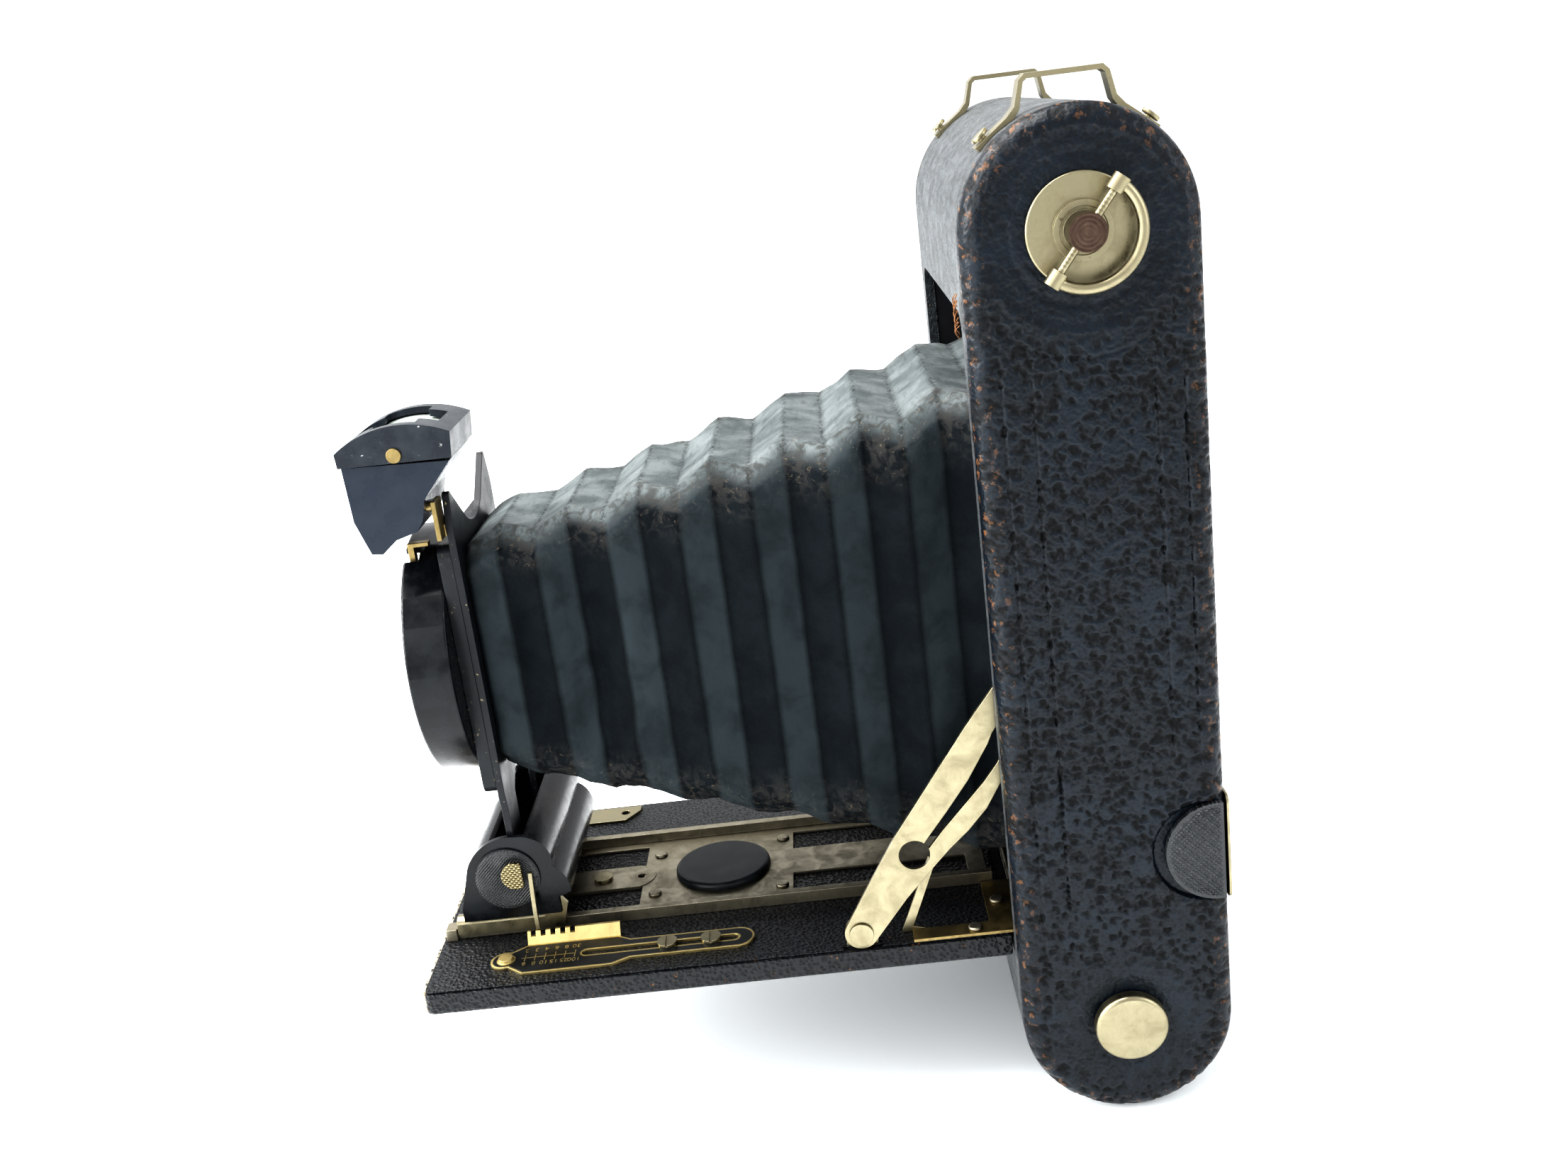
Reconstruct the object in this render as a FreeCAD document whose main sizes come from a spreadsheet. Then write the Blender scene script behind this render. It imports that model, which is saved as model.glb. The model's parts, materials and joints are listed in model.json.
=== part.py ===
import FreeCAD, Part
import os
import re
import math
import Sketcher
from FreeCAD import Vector, Rotation, Placement

# Folding roll-film pocket camera, drawn open.  Millimetres.
# X across the body (+X is the winding-key side), -Y towards the lens, Z up the
# long axis.  Origin: lowest point of the rounded lower end, mid width, mid depth.

doc = FreeCAD.newDocument("folding_camera")

DIMS = {
    "body_length": 241.3, "body_half": 54.2, "end_radius": 25.4, "shell_wall": 2.6,
    "cap_face": 60.3, "cap_inner": 54.3, "cap_edge": 4.6, "cap_plate": 2.4,
    "opening_half": 49.2, "opening_low": 45.2, "opening_high": 199.8, "opening_corner": 6,
    "back_low": 28, "back_high": 213.3, "back_gap": 0.15, "back_thick": 2.5,
    "frame_half": 51.5, "frame_wall": 2, "frame_low": 42.6, "frame_high": 202.6,
    "gate_front": 15, "gate_back": 17, "film_half_width": 41.3, "film_half_length": 69.85,
    "lens_height": 121.6, "gate_height": 123,
    "hinge_y": -22, "hinge_z": 43.5, "hinge_pin_radius": 0.9, "hinge_knuckle": 2,
    "bed_half": 49.15, "bed_rear": -25.9, "bed_front": -174.8, "bed_low": 40.3,
    "bed_high": 46.2, "bed_corner": 3, "lining_high": 46.7, "plate_high": 47.5,
    "rail_inner": 20.4, "rail_outer": 22.8, "rail_high": 50, "rail_front": -170,
    "bush_y": -99.6, "bush_radius": 5.5, "socket_radius": 3.175, "boss_radius": 13.2,
    "strut_inner": 47, "strut_thick": 1.2, "pivot_y": -62.7, "pivot_z": 50.5,
    "slot_half": 1.8, "stud_radius": 1.3, "stud_reach": 70,
    "key_z": 215.9, "pin_z": 25.4, "key_disc": 11.96, "bail_ring": 11.5, "bail_wire": 1.25,
    "knob_radius": 8.87, "spool_half": 45.7, "spool_flange": 13, "roller_radius": 3,
    "base_half": 25.6, "base_floor": 53, "upright_front": -151.8, "upright_back": -150,
    "upright_half": 24.6, "board_front": -155.2, "shutter_radius": 33, "shutter_front": -166.3,
    "face_front": -163,
    "finder_near": 30, "finder_far": 6,
}
sheet = doc.addObject("Spreadsheet::Sheet", "Dims")
for row, (alias, number) in enumerate(DIMS.items(), 1):
    sheet.set("A%d" % row, alias)
    sheet.set("B%d" % row, str(number))
    sheet.setAlias("B%d" % row, alias)
doc.recompute()

STRUT_ANGLE = 54.1          # slope of the strut, degrees above the bed
SLOT_DROP = 1.9             # the slot runs this far below the line through the pivot
PARTS = []                  # (node, object), in order of export


def ex(value):
    """A dimension written with sheet names, ready for the expression engine."""
    return re.sub(r"[a-z_]{3,}", lambda m: "Dims." + m.group(0), str(value))


def num(value):
    """The number that a dimension written with sheet names stands for."""
    return float(sum_names(value)) if isinstance(value, str) else float(value)


def sum_names(value):
    """Sum of the signed terms of a dimension such as 'cap_face - cap_plate'."""
    total = 0.0
    for sign, term in re.findall(r"([+-]?)\s*([a-z_]+|[0-9.]+)", value):
        size = DIMS[term] if term in DIMS else float(term)
        total += -size if sign == "-" else size
    return total


def bind(obj, **exprs):
    for prop, value in exprs.items():
        obj.setExpression(prop.replace("__", "."), ex(value))
    return obj


def at(obj, x, y, z):
    """Put an object at a point whose coordinates may use sheet names."""
    for axis, value in zip("xyz", (x, y, z)):
        if isinstance(value, str):
            obj.setExpression("Placement.Base." + axis, ex(value))
        else:
            base = obj.Placement.Base
            setattr(base, axis, float(value))
            obj.Placement.Base = base
    return obj


def box(name, x, y, z):
    """A box from three (low, high) pairs."""
    b = doc.addObject("Part::Box", name)
    for prop, (low, high) in zip(("Length", "Width", "Height"), (x, y, z)):
        if isinstance(low, str) or isinstance(high, str):
            b.setExpression(prop, "(%s) - (%s)" % (ex(high), ex(low)))
        else:
            setattr(b, prop, high - low)
    return at(b, x[0], y[0], z[0])


AXES = {"x": Vector(1, 0, 0), "y": Vector(0, 1, 0), "z": Vector(0, 0, 1)}


def cyl(name, radius, length, axis, x, y, z):
    """A cylinder that starts at a point and runs along +axis."""
    c = doc.addObject("Part::Cylinder", name)
    bind(c, Radius=radius, Height=length)
    way = AXES[axis] if isinstance(axis, str) else axis
    c.Placement = Placement(Vector(0, 0, 0), Rotation(Vector(0, 0, 1), way))
    return at(c, x, y, z)


def cut(name, base, *tools):
    tool = tools[0] if len(tools) == 1 else fuse(name + "_tools", *tools)
    c = doc.addObject("Part::Cut", name)
    c.Base, c.Tool = base, tool
    doc.recompute()
    return c


def fuse(name, *shapes):
    f = doc.addObject("Part::MultiFuse", name)
    f.Shapes = list(shapes)
    f.Refine = True
    doc.recompute()
    return f


def common(name, *shapes):
    c = doc.addObject("Part::MultiCommon", name)
    c.Shapes = list(shapes)
    doc.recompute()
    return c


def group(name, *shapes):
    """Several separate solids kept as one node."""
    c = doc.addObject("Part::Compound", name)
    c.Links = list(shapes)
    doc.recompute()
    return c


def fillet(name, base, radius, wanted):
    """Round the edges of base for which wanted(edge) is true."""
    doc.recompute()
    f = doc.addObject("Part::Fillet", name)
    f.Base = base
    f.Edges = [(i, radius, radius) for i, e in enumerate(base.Shape.Edges, 1) if wanted(e)]
    doc.recompute()
    return f


def outline(sketch, points, circles):
    """A closed outline: (u, v) corners, or (u, v, mu, mv) to reach one by an arc."""
    prev = points[-1][:2]
    count = len(points)
    for p in points:
        a, b = Vector(prev[0], prev[1], 0), Vector(p[0], p[1], 0)
        if len(p) == 4:
            sketch.addGeometry(Part.Arc(a, Vector(p[2], p[3], 0), b), False)
        else:
            sketch.addGeometry(Part.LineSegment(a, b), False)
        prev = p[:2]
    for i in range(count):
        other = (i + 1) % count
        pairs = [(sketch.getPoint(i, p).distanceToPoint(sketch.getPoint(other, q)), p, q)
                 for p in (1, 2) for q in (1, 2)]
        _, here, there = min(pairs)
        sketch.addConstraint(Sketcher.Constraint("Coincident", i, here, other, there))
    for u, v, radius in circles:
        sketch.addGeometry(Part.Circle(Vector(u, v, 0), Vector(0, 0, 1), radius), False)
        sketch.addConstraint(Sketcher.Constraint("Radius", len(sketch.Geometry) - 1, radius))


def pad(name, plane, points, length, base=(0, 0, 0), circles=()):
    """A Body whose sketch on an origin plane is padded; YZ goes +X, XZ goes -Y, XY goes +Z."""
    body = doc.addObject("PartDesign::Body", name)
    sketch = body.newObject("Sketcher::SketchObject", name + "_sketch")
    role = {"XY": "XY_Plane", "XZ": "XZ_Plane", "YZ": "YZ_Plane"}[plane]
    face = next(f for f in body.Origin.OriginFeatures if f.Role == role)
    sketch.AttachmentSupport = [(face, "")]
    sketch.MapMode = "FlatFace"
    outline(sketch, points, circles)
    p = body.newObject("PartDesign::Pad", name + "_pad")
    p.Profile = sketch
    bind(p, Length=length)
    doc.recompute()
    return at(body, *base)


def stadium(radius, low, high):
    """Outline of the body seen from the side, in (y, z)."""
    return [(radius, low, 0, low - radius), (radius, high),
            (-radius, high, 0, high + radius), (-radius, low)]


def mirror(name, base):
    m = doc.addObject("Part::Mirroring", name)
    m.Source = base
    m.Normal = Vector(1, 0, 0)
    doc.recompute()
    return m


def part(node, obj):
    """Register a finished sub-part under its node name."""
    obj.Label = node
    PARTS.append((node, obj))
    return obj


def ring(name, outer, inner, length, axis, x, y, z):
    return cut(name, cyl(name + "_o", outer, length, axis, x, y, z),
               cyl(name + "_i", inner, length, axis, x, y, z))


LOW, HIGH = DIMS["end_radius"], DIMS["body_length"] - DIMS["end_radius"]
RIVET_TILT = 41.4           # where the strap brackets' feet sit round the top, degrees


def rivet_way(side):
    t = math.radians(RIVET_TILT)
    return Vector(0, side * math.sin(t), math.cos(t))


def rivet_rods(name, radius, start, length):
    """Rods square to the rounded top at the four feet of the strap brackets."""
    rods = []
    for x in (-47, 47):
        for side in (-1, 1):
            way = rivet_way(side)
            rods.append(cyl("%s_%d_%d" % (name, x, side), radius, length, way,
                            x, way.y * start, HIGH + way.z * start))
    return rods


# ---- body ---------------------------------------------------------------


def body_shell():
    outer = pad("shell_outer", "YZ", stadium(LOW, LOW, HIGH), "body_half + body_half",
                ("0 - body_half", 0, 0))
    r = DIMS["end_radius"] - DIMS["shell_wall"]
    inner = pad("shell_inner", "YZ", stadium(r, LOW, HIGH), "body_half + body_half + 2",
                ("0 - body_half - 1", 0, 0))
    h, low, high, c = (DIMS[k] for k in
                       ("opening_half", "opening_low", "opening_high", "opening_corner"))
    k = c * (1 - math.sqrt(0.5))
    mouth = pad("shell_mouth", "XZ", [
        (h, low), (h, high - c), (h - c, high, h - k, high - k), (-h + c, high),
        (-h, high - c, -h + k, high - k), (-h, low)], 5, (0, -21.5, 0))
    notch = box("shell_notch", (-47.5, 47.5), (-26, -21.5), (40.9, 46))
    back = box("shell_back", (-55, 55), (20, 26), ("back_low", "back_high"))
    holes = rivet_rods("shell_rivet", 0.95, 21, 6)
    part("body_shell", cut("body_shell", outer, inner, mouth, notch, back, *holes))


def side_cap(name, knobs, latch):
    """Leather-covered end cover, drawn on the +X side."""
    plate = pad(name + "_plate", "YZ", stadium(LOW, LOW, HIGH), "cap_face - cap_inner",
                ("cap_inner", 0, 0))
    face = DIMS["cap_face"]
    rounded = fillet(name + "_round", plate, DIMS["cap_edge"],
                     lambda e: abs(e.CenterOfMass.x - face) < 1e-3)
    r = DIMS["end_radius"] - DIMS["shell_wall"]
    tools = [pad(name + "_hollow", "YZ", stadium(r, LOW, HIGH),
                 "cap_face - cap_plate - cap_inner + 1", ("cap_inner - 1", 0, 0))]
    for i, (z, recess) in enumerate(knobs):
        tools.append(cyl("%s_hole%d" % (name, i), 2.1 if recess else 3.1, 10, "x", 52, 0, z))
        if recess:
            tools.append(cyl("%s_dish%d" % (name, i), 14, 2, "x", 59.5, 0, z))
        else:
            tools.append(ring("%s_groove%d" % (name, i), 21, 20.3, 2, "x", 59.9, 0, z))
    for i, y in enumerate((-19.2, -12.6, 13.7, 19.8)):
        low, high = (88, 190) if y > 0 else (44, 190)
        tools.append(box("%s_line%d" % (name, i), (59.95, 61), (y - 0.3, y + 0.3), (low, high)))
    if latch:
        for i, y in enumerate((23, 20.4)):
            tools.append(cyl("%s_latch%d" % (name, i), 12.8, 3, "x", 59, y, 70))
    return cut(name + "_cut", rounded, *tools)


def side_caps():
    part("side_cap_near", side_cap("side_cap_near", (("key_z", False), ("pin_z", True)), True))
    far = side_cap("far_cap", (("key_z", True), ("pin_z", True)), False)
    part("side_cap_far", mirror("side_cap_far", far))


def back_cover():
    """Lift-off back with its inner pressure pad and the rim of the red window."""
    plate = box("back_plate", (-54, 54), ("end_radius - back_thick", "end_radius"),
                ("back_low + back_gap", "back_high - back_gap"))
    pressure = box("back_pressure", (-43, 43), (18.6, "end_radius - back_thick"), (55, 191))
    rim = cyl("back_rim", 7.2, 0.6, "y", 0, "end_radius", "gate_height")
    holes = [cyl("back_hole", 5.3, 10, "y", 0, 16, "gate_height"),
             cyl("back_rim_hole", 4.8, 3, "y", 0, 25, "gate_height")]
    rim = cut("back_rim_cut", rim, holes[1])
    plate = cut("back_plate_cut", fuse("back_fuse", plate, pressure), holes[0])
    part("back_cover", fuse("back_cover", plate, rim))
    part("red_window", cyl("red_window", 5.3, 2.3, "y", 0, 23.1, "gate_height"))
    latch = box("latch_solid", (46, 59), (25.4, 26.1), (56, 83))
    part("latch_plate", fillet("latch_plate", latch, 2, lambda e: vertical(e, "y")))


def vertical(edge, axis):
    """True for a straight edge that runs along the given axis."""
    if len(edge.Vertexes) != 2:
        return False
    d = edge.Vertexes[1].Point - edge.Vertexes[0].Point
    return abs(abs(d.normalize().dot(AXES[axis])) - 1) < 1e-6


def latch_button():
    disc = cyl("latch_disc", 12.5, 2.4, "x", 59.05, 23, 70)
    keep = box("latch_keep", (58, 63), (8, 24.3), (50, 90))
    grooves = [box("latch_rib%d" % i, (61.1, 62), (11 + 1.3 * i, 11.6 + 1.3 * i), (50, 90))
               for i in range(10)]
    half = common("latch_half", disc, keep)
    part("latch_button", cut("latch_button", half, *grooves))


def inner_frame():
    outer = box("frame_outer", ("0 - frame_half", "frame_half"), (-22.6, "gate_back"),
                ("frame_low", "frame_high"))
    inner = box("frame_inner", ("frame_wall - frame_half", "frame_half - frame_wall"),
                (-30, "gate_front"), ("frame_low + frame_wall", "frame_high - frame_wall"))
    sill = box("frame_sill", (-60, 60), (-30, -19), (40, "frame_low + frame_wall"))
    gate = box("frame_gate", ("0 - film_half_width", "film_half_width"), (10, 20),
               ("gate_height - film_half_length", "gate_height + film_half_length"))
    tabs = [box("frame_tab%d%d" % (i, j), pair, (9.2, "gate_back"), z)
            for i, pair in enumerate((("frame_half - frame_wall", "frame_half"),
                                      ("0 - frame_half", "frame_wall - frame_half")))
            for j, z in enumerate(((35.4, "frame_low + 1"), ("frame_high - 1", 209.8)))]
    rails = [box("frame_rail%d" % s, x, (-18.9, 13),
                 ("frame_low + frame_wall", "rail_high"))
             for s, x in ((0, ("rail_inner", "rail_outer")),
                          (1, ("0 - rail_outer", "0 - rail_inner")))]
    walls = fuse("frame_walls", cut("frame_box", outer, inner, sill, gate), *tabs)
    bores = [cyl("frame_bore%d" % i, 1.25, 110, "x", -55, 13.2, z) for i, z in enumerate((39, 206.2))]
    box_part = cut("frame_bored", walls, *bores)
    part("inner_frame", fuse("inner_frame", box_part, *rails))


def rollers():
    for name, z in (("roller_lower", 39), ("roller_upper", 206.2)):
        part(name, fuse(name, cyl(name + "_drum", "roller_radius", 98.4, "x", -49.2, 13.2, z),
                        cyl(name + "_journal", 1.2, 102.8, "x", -51.4, 13.2, z)))


def spool(name, z, slot):
    core = cyl(name + "_core", 6, "spool_half + spool_half", "x", "0 - spool_half", 0, z)
    flanges = [cyl("%s_flange%d" % (name, i), "spool_flange", 1.2, "x", x, 0, z)
               for i, x in enumerate(("0 - spool_half", "spool_half - 1.2"))]
    tools = [cyl("%s_bore%d" % (name, i), 2.08, 12, "x", x, 0, z)
             for i, x in enumerate((-50, 38)) if not (slot and i)]
    if slot:
        tools.append(box(name + "_slot", (38, 50), (-0.75, 0.75), (z - 2.7, z + 2.7)))
    part(name, cut(name, fuse(name + "_body", core, *flanges), *tools))


def spool_knob(name, z, far):
    knob = cyl(name + "_disc", "knob_radius", 3.2, "x", 59.8, 0, z)
    knob = fillet(name + "_round", knob, 1.2, lambda e: abs(e.CenterOfMass.x - 63) < 1e-3)
    stem = cyl(name + "_stem", 2, 20, "x", 40, 0, z)
    made = fuse(name + "_fuse", knob, stem)
    if far:
        cross = box(name + "_slot", (62.4, 64), (-6, 6), (z - 0.6, z + 0.6))
        made = mirror(name, cut(name + "_made", made, cross))
    part(name, made)


def winding_key():
    z = DIMS["key_z"]
    disc = cyl("escutcheon_disc", "key_disc", 0.9, "x", "cap_face", 0, z)
    disc = fillet("escutcheon_round", disc, 0.5, lambda e: abs(e.CenterOfMass.x - 61.2) < 1e-3)
    boss = cyl("boss_solid", 6.3, 1.3, "x", 61.2, 0, z)
    part("key_escutcheon", cut("key_escutcheon", fuse("escutcheon_boss", disc, boss),
                               cyl("escutcheon_hole", 3.1, 5, "x", 59, 0, z),
                               ring("boss_groove", 5, 4.3, 1, "x", 62, 0, z)))
    shaft = cyl("shaft_rod", 3, 18.2, "x", 46.2, 0, z)
    head = cyl("shaft_head", 4, 4.6, "x", 63, 0, z)
    blade = box("shaft_blade", (40, 47), (-0.6, 0.6), (z - 2.5, z + 2.5))
    way = bail_way()
    rod = cyl("shaft_crossrod", 0.9, 23.4, way, 65.6, -way.y * 11.7, z - way.z * 11.7)
    part("winding_shaft", fuse("winding_shaft", shaft, head, blade, rod))
    torus = doc.addObject("Part::Torus", "bail_torus")
    bind(torus, Radius1="bail_ring", Radius2="bail_wire")
    torus.Placement = Placement(Vector(65.6, 0, z), Rotation(Vector(0, 0, 1), Vector(1, 0, 0)))
    # keep the half of the ring that hangs on the +Y, -Z side of the cross rod
    keep = box("bail_keep", (0, 40), (-20, 20), (-3, 3))
    keep.Placement = Placement(Vector(65.6, 0, z),
                               Rotation(Vector(0, way.z, -way.y), way, Vector(1, 0, 0), "XYZ"))
    keep.Placement = keep.Placement.multiply(Placement(Vector(0, -20, -3), Rotation()))
    half = common("bail_half", torus, keep)
    lugs = [cyl("bail_lug%d" % i, 1.9, 3.4, way, 65.6, way.y * s, z + way.z * s)
            for i, s in enumerate((-12.9, 9.5))]
    bore = cyl("bail_bore", 0.97, 24, way, 65.6, -way.y * 12, z - way.z * 12)
    room = cyl("bail_room", 4.3, 8, "x", 62, 0, z)
    part("key_bail", cut("key_bail", fuse("bail_ring", half, *lugs), bore, room))


def bail_way():
    t = math.radians(52)
    return Vector(0, math.cos(t), math.sin(t))


def strap_brackets():
    """Two strips bent over the rounded top, which held the ends of a hand strap."""
    def polar(radius, angle, side):
        t = math.radians(angle)
        return (side * radius * math.sin(t), HIGH + radius * math.cos(t))
    right_outer = [polar(26.6, 47, 1), polar(26.6, 28, 1), (10.7, 241.4), (9.5, 246.5), (8.2, 247.8)]
    left_outer = [(-y, z) for y, z in reversed(right_outer)]
    right_inner = [(7.7, 246.7), (8.5, 246.1), (9.7, 240.6), polar(25.3, 26, 1), polar(25.3, 47, 1)]
    left_inner = [(-y, z) for y, z in reversed(right_inner)]
    points = right_outer + left_outer + left_inner + right_inner
    strips = [pad("bracket%d" % i, "YZ", points, 5.6, (x, 0, 0)) for i, x in enumerate((44.2, -49.8))]
    holes = rivet_rods("bracket_rivet", 0.95, 24, 6)
    crown = cyl("bracket_crown", 25.45, 140, "x", -70, 0, HIGH)
    brackets = [cut("bracket_cut%d" % i, s, crown, *holes) for i, s in enumerate(strips)]
    part("strap_brackets", group("strap_brackets", *brackets))
    heads = rivet_rods("rivet_head", 2.1, 26.85, 0.9)
    stems = rivet_rods("rivet_stem", 0.9, 22.4, 4.6)
    part("strap_rivets", group("strap_rivets", *[
        fuse("strap_rivet%d" % i, h, s) for i, (h, s) in enumerate(zip(heads, stems))]))


def hinge():
    y, z = DIMS["hinge_y"], DIMS["hinge_z"]
    solids = [cyl("hinge_pin", "hinge_pin_radius", 92, "x", -46, y, z)]
    for x in (30, -38):
        solids.append(box("body_leaf%d" % x, (x, x + 8), (-22.8, -21.8), (30, 42)))
        solids.append(cyl("body_knuckle%d" % x, "hinge_knuckle", 8, "x", x, y, z))
    part("body_hinge", fuse("body_hinge", *solids))
    stud_solids = []
    for side in (-1, 1):
        sy, sz = stud_point()
        start = 46.8 if side > 0 else -49.5
        stem = cyl("stud_stem%d" % side, "stud_radius", 2.7, "x", start, sy, sz)
        head = cyl("stud_head%d" % side, 2.4, 0.8, "x", 46.0 if side > 0 else -46.8, sy, sz)
        stud_solids.append(fuse("strut_stud%d" % side, stem, head))
    part("strut_studs", group("strut_studs", *stud_solids))


def strut_dirs():
    t = math.radians(STRUT_ANGLE)
    return (math.cos(t), math.sin(t)), (math.sin(t), -math.cos(t))


def strut_at(along, below):
    """Point of the strut's plane: distance along it from the pivot, and below its line."""
    (ay, az), (by, bz) = strut_dirs()
    return (DIMS["pivot_y"] + along * ay + below * by, DIMS["pivot_z"] + along * az + below * bz)


def stud_point():
    return strut_at(DIMS["stud_reach"], SLOT_DROP)


# ---- bed ----------------------------------------------------------------


def bed():
    h, rear, front, c = (DIMS[k] for k in ("bed_half", "bed_rear", "bed_front", "bed_corner"))
    k = c * (1 - math.sqrt(0.5))
    plate = pad("bed_solid", "XY", [
        (h, rear), (-h, rear), (-h, front + c), (-h + c, front, -h + k, front + k),
        (h - c, front), (h, front + c, h - k, front + k)], "bed_high - bed_low", (0, 0, "bed_low"))
    rounded = fillet("bed_round", plate, 1.4, lambda e: abs(e.CenterOfMass.z - DIMS["bed_low"]) < 1e-3)
    hole = cyl("bed_bush_hole", "bush_radius + 0.05", 10, "z", 0, "bush_y", 38)
    part("bed_plate", cut("bed_plate", rounded, hole))
    m, c = h - 0.9, c - 0.9
    k = c * (1 - math.sqrt(0.5))
    rear, front = rear - 0.6, front + 0.9
    lining = pad("lining_solid", "XY", [
        (m, rear), (-m, rear), (-m, front + c), (-m + c, front, -m + k, front + k),
        (m - c, front), (m, front + c, m - k, front + k)], "lining_high - bed_high",
        (0, 0, "bed_high"))
    hole = cyl("lining_hole", "bush_radius + 0.05", 10, "z", 0, "bush_y", 42)
    dips = [box("lining_dip%d" % i, x, ("pivot_y - 4.8", "pivot_y + 4.8"), (46, 47))
            for i, x in enumerate(((46.85, 48.35), (-48.35, -46.85)))]
    part("bed_lining", cut("bed_lining", lining, hole, *dips))


def tripod_bush():
    """Bush through the bed: flange and socket below, domed black boss above the track."""
    y = "bush_y"
    dome = cyl("boss_disc", "boss_radius", 1.9, "z", 0, y, "plate_high")
    dome = fillet("boss_dome", dome, 1.3, lambda e: e.CenterOfMass.z > 49.3)
    bush = fuse("bush_body", cyl("bush_rod", "bush_radius", 8, "z", 0, y, "bed_low"),
                cyl("bush_flange", 8.5, 0.6, "z", 0, y, "bed_low - 0.6"), dome)
    part("tripod_bush", cut("tripod_bush", bush,
                            cyl("bush_socket", "socket_radius", 5.6, "z", 0, y, "bed_low - 0.6")))


def track():
    plate = box("track_solid", (-20.4, 20.4), (-170, -28), ("lining_high", "plate_high"))
    tools = [box("track_front", (-17, 17), (-164, -122), (46, 49))]
    for side in (-1, 1):
        x = (7, 17) if side > 0 else (-17, -7)
        tools.append(box("track_slot%d" % side, x, (-80, -33), (46, 49)))
    tools.append(cyl("track_bush", "bush_radius + 0.05", 4, "z", 0, "bush_y", 45))
    rails = [box("rail%d" % i, x, ("rail_front", -27.2), ("lining_high", "rail_high"))
             for i, x in enumerate((("rail_inner", "rail_outer"), ("0 - rail_outer", "0 - rail_inner")))]
    stops = [box("rail_stop%d" % i, x, (-173, "rail_front"), ("lining_high", "rail_high"))
             for i, x in enumerate(((19.4, 23.8), (-23.8, -19.4)))]
    part("track", fuse("track", cut("track_cut", plate, *tools), *rails, *stops))
    places = [(-11, -118), (11, -118), (-13.5, -83), (13.5, -83)]
    places += [(x * side, y) for side in (-1, 1) for x, y in ((45.8, -34.4), (33.5, -27.6))]
    rivets = [fillet("bed_rivet_f%d" % i, cyl("bed_rivet%d" % i, 1.8, 0.8, "z", x, y, "plate_high"),
                     0.5, lambda e: e.CenterOfMass.z > 48.2)
              for i, (x, y) in enumerate(places)]
    part("bed_rivets", group("bed_rivets", *rivets))
    tongue = pad("tongue_solid", "XY", [
        (6, -146), (6, -123), (-6, -123, 0, -118.6), (-6, -146)], 1, (0, 0, "lining_high"),
        circles=((0, -122.6, 1.2),))
    clear = box("tongue_clear", (-8, 8), (-122, -116), ("lining_high - 1", "plate_high"))
    part("spring_tongue", cut("spring_tongue", tongue, clear))


def catch_plate():
    plate = pad("catch_solid", "XY", [
        (-37, -147), (-37, -131), (-43, -127), (-46, -127), (-46, -147)], 0.8,
        (0, 0, "lining_high"), circles=((-42, -131.5, 1.3),))
    part("bed_catch_plate", plate)


def focus_scale():
    """Adjustable distance plate beside the near rail, and its notched raised strip."""
    plate = pad("scale_solid", "XY", [
        (44.6, -149.5), (44.6, -126.5), (42.2, -122), (42.2, -94.6), (33.2, -94.6, 37.7, -90.1),
        (33.2, -122.5), (31, -126), (31, -149.5), (34, -153.6), (41, -153.6, 37.5, -158.6)],
        0.8, (0, 0, "lining_high"))
    slot = pad("scale_slot", "XY", [
        (39, -133.5, 37.7, -134.8), (39, -95.5), (36.4, -95.5, 37.7, -94.2),
        (36.4, -133.5)], 2, (0, 0, "lining_high - 0.5"))
    strip = pad("strip_solid", "XZ", [
        (31.1, 46.7), (31.1, 47.5), (29.3, 50.4), (28.5, 50.4), (29.9, 47.4), (29.9, 46.7)],
        24.5, (0, -125.4, 0))
    notches = [box("strip_notch%d" % i, (27, 31), (-149 + 2.6 * i, -147.7 + 2.6 * i), (49.2, 51))
               for i in range(5)]
    rivet = cyl("scale_rivet", 1.9, 0.8, "z", 37.5, -154.6, "plate_high")
    part("focus_scale", fuse("focus_scale", cut("scale_cut", plate, slot),
                             cut("strip_cut", strip, *notches), rivet))
    solids = []
    for i, (x, y, z) in enumerate(((37.7, -112.6, "plate_high"), (37.7, -101.3, "plate_high"),
                                   (0, -133.4, "lining_high + 1"))):
        head = cyl("bed_screw_head%d" % i, 2.6, 1, "z", x, y, z)
        low = num("lining_high") + (1.9 if i == 2 else 1.4)
        solids.append(cut("bed_screw%d" % i, head, box(
            "bed_screw_slot%d" % i, (x - 4, x + 4), (y - 0.35, y + 0.35), (low, low + 2))))
    part("bed_screws", group("bed_screws", *solids))


def hinge_leaf(name):
    """Nickel corner plate on the bed's near rear corner, with its hinge knuckle."""
    y, z = DIMS["hinge_y"], DIMS["hinge_z"]
    side = box(name + "_side", (43.2, 48.4), (-50, -26.3), ("lining_high", "plate_high"))
    back = box(name + "_back", (20, 48.4), (-30.6, -24), ("lining_high", "plate_high"))
    web = box(name + "_web", (23.2, 29.5), (-24.8, -22), (43.5, "plate_high"))
    knuckle = cyl(name + "_knuckle", "hinge_knuckle", 6.3, "x", 23.2, y, z)
    room = box(name + "_room", (19, 23.2), (-40, -20), (46, 48))
    bore = cyl(name + "_bore", 0.95, 12, "x", 20, y, z)
    return cut(name, fuse(name + "_f", side, back, web, knuckle), room, bore)


def hinge_leaves():
    near_leaf = hinge_leaf("hinge_leaf_n")
    part("hinge_leaves", group("hinge_leaves", near_leaf, mirror("hinge_leaf_f", near_leaf)))


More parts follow.
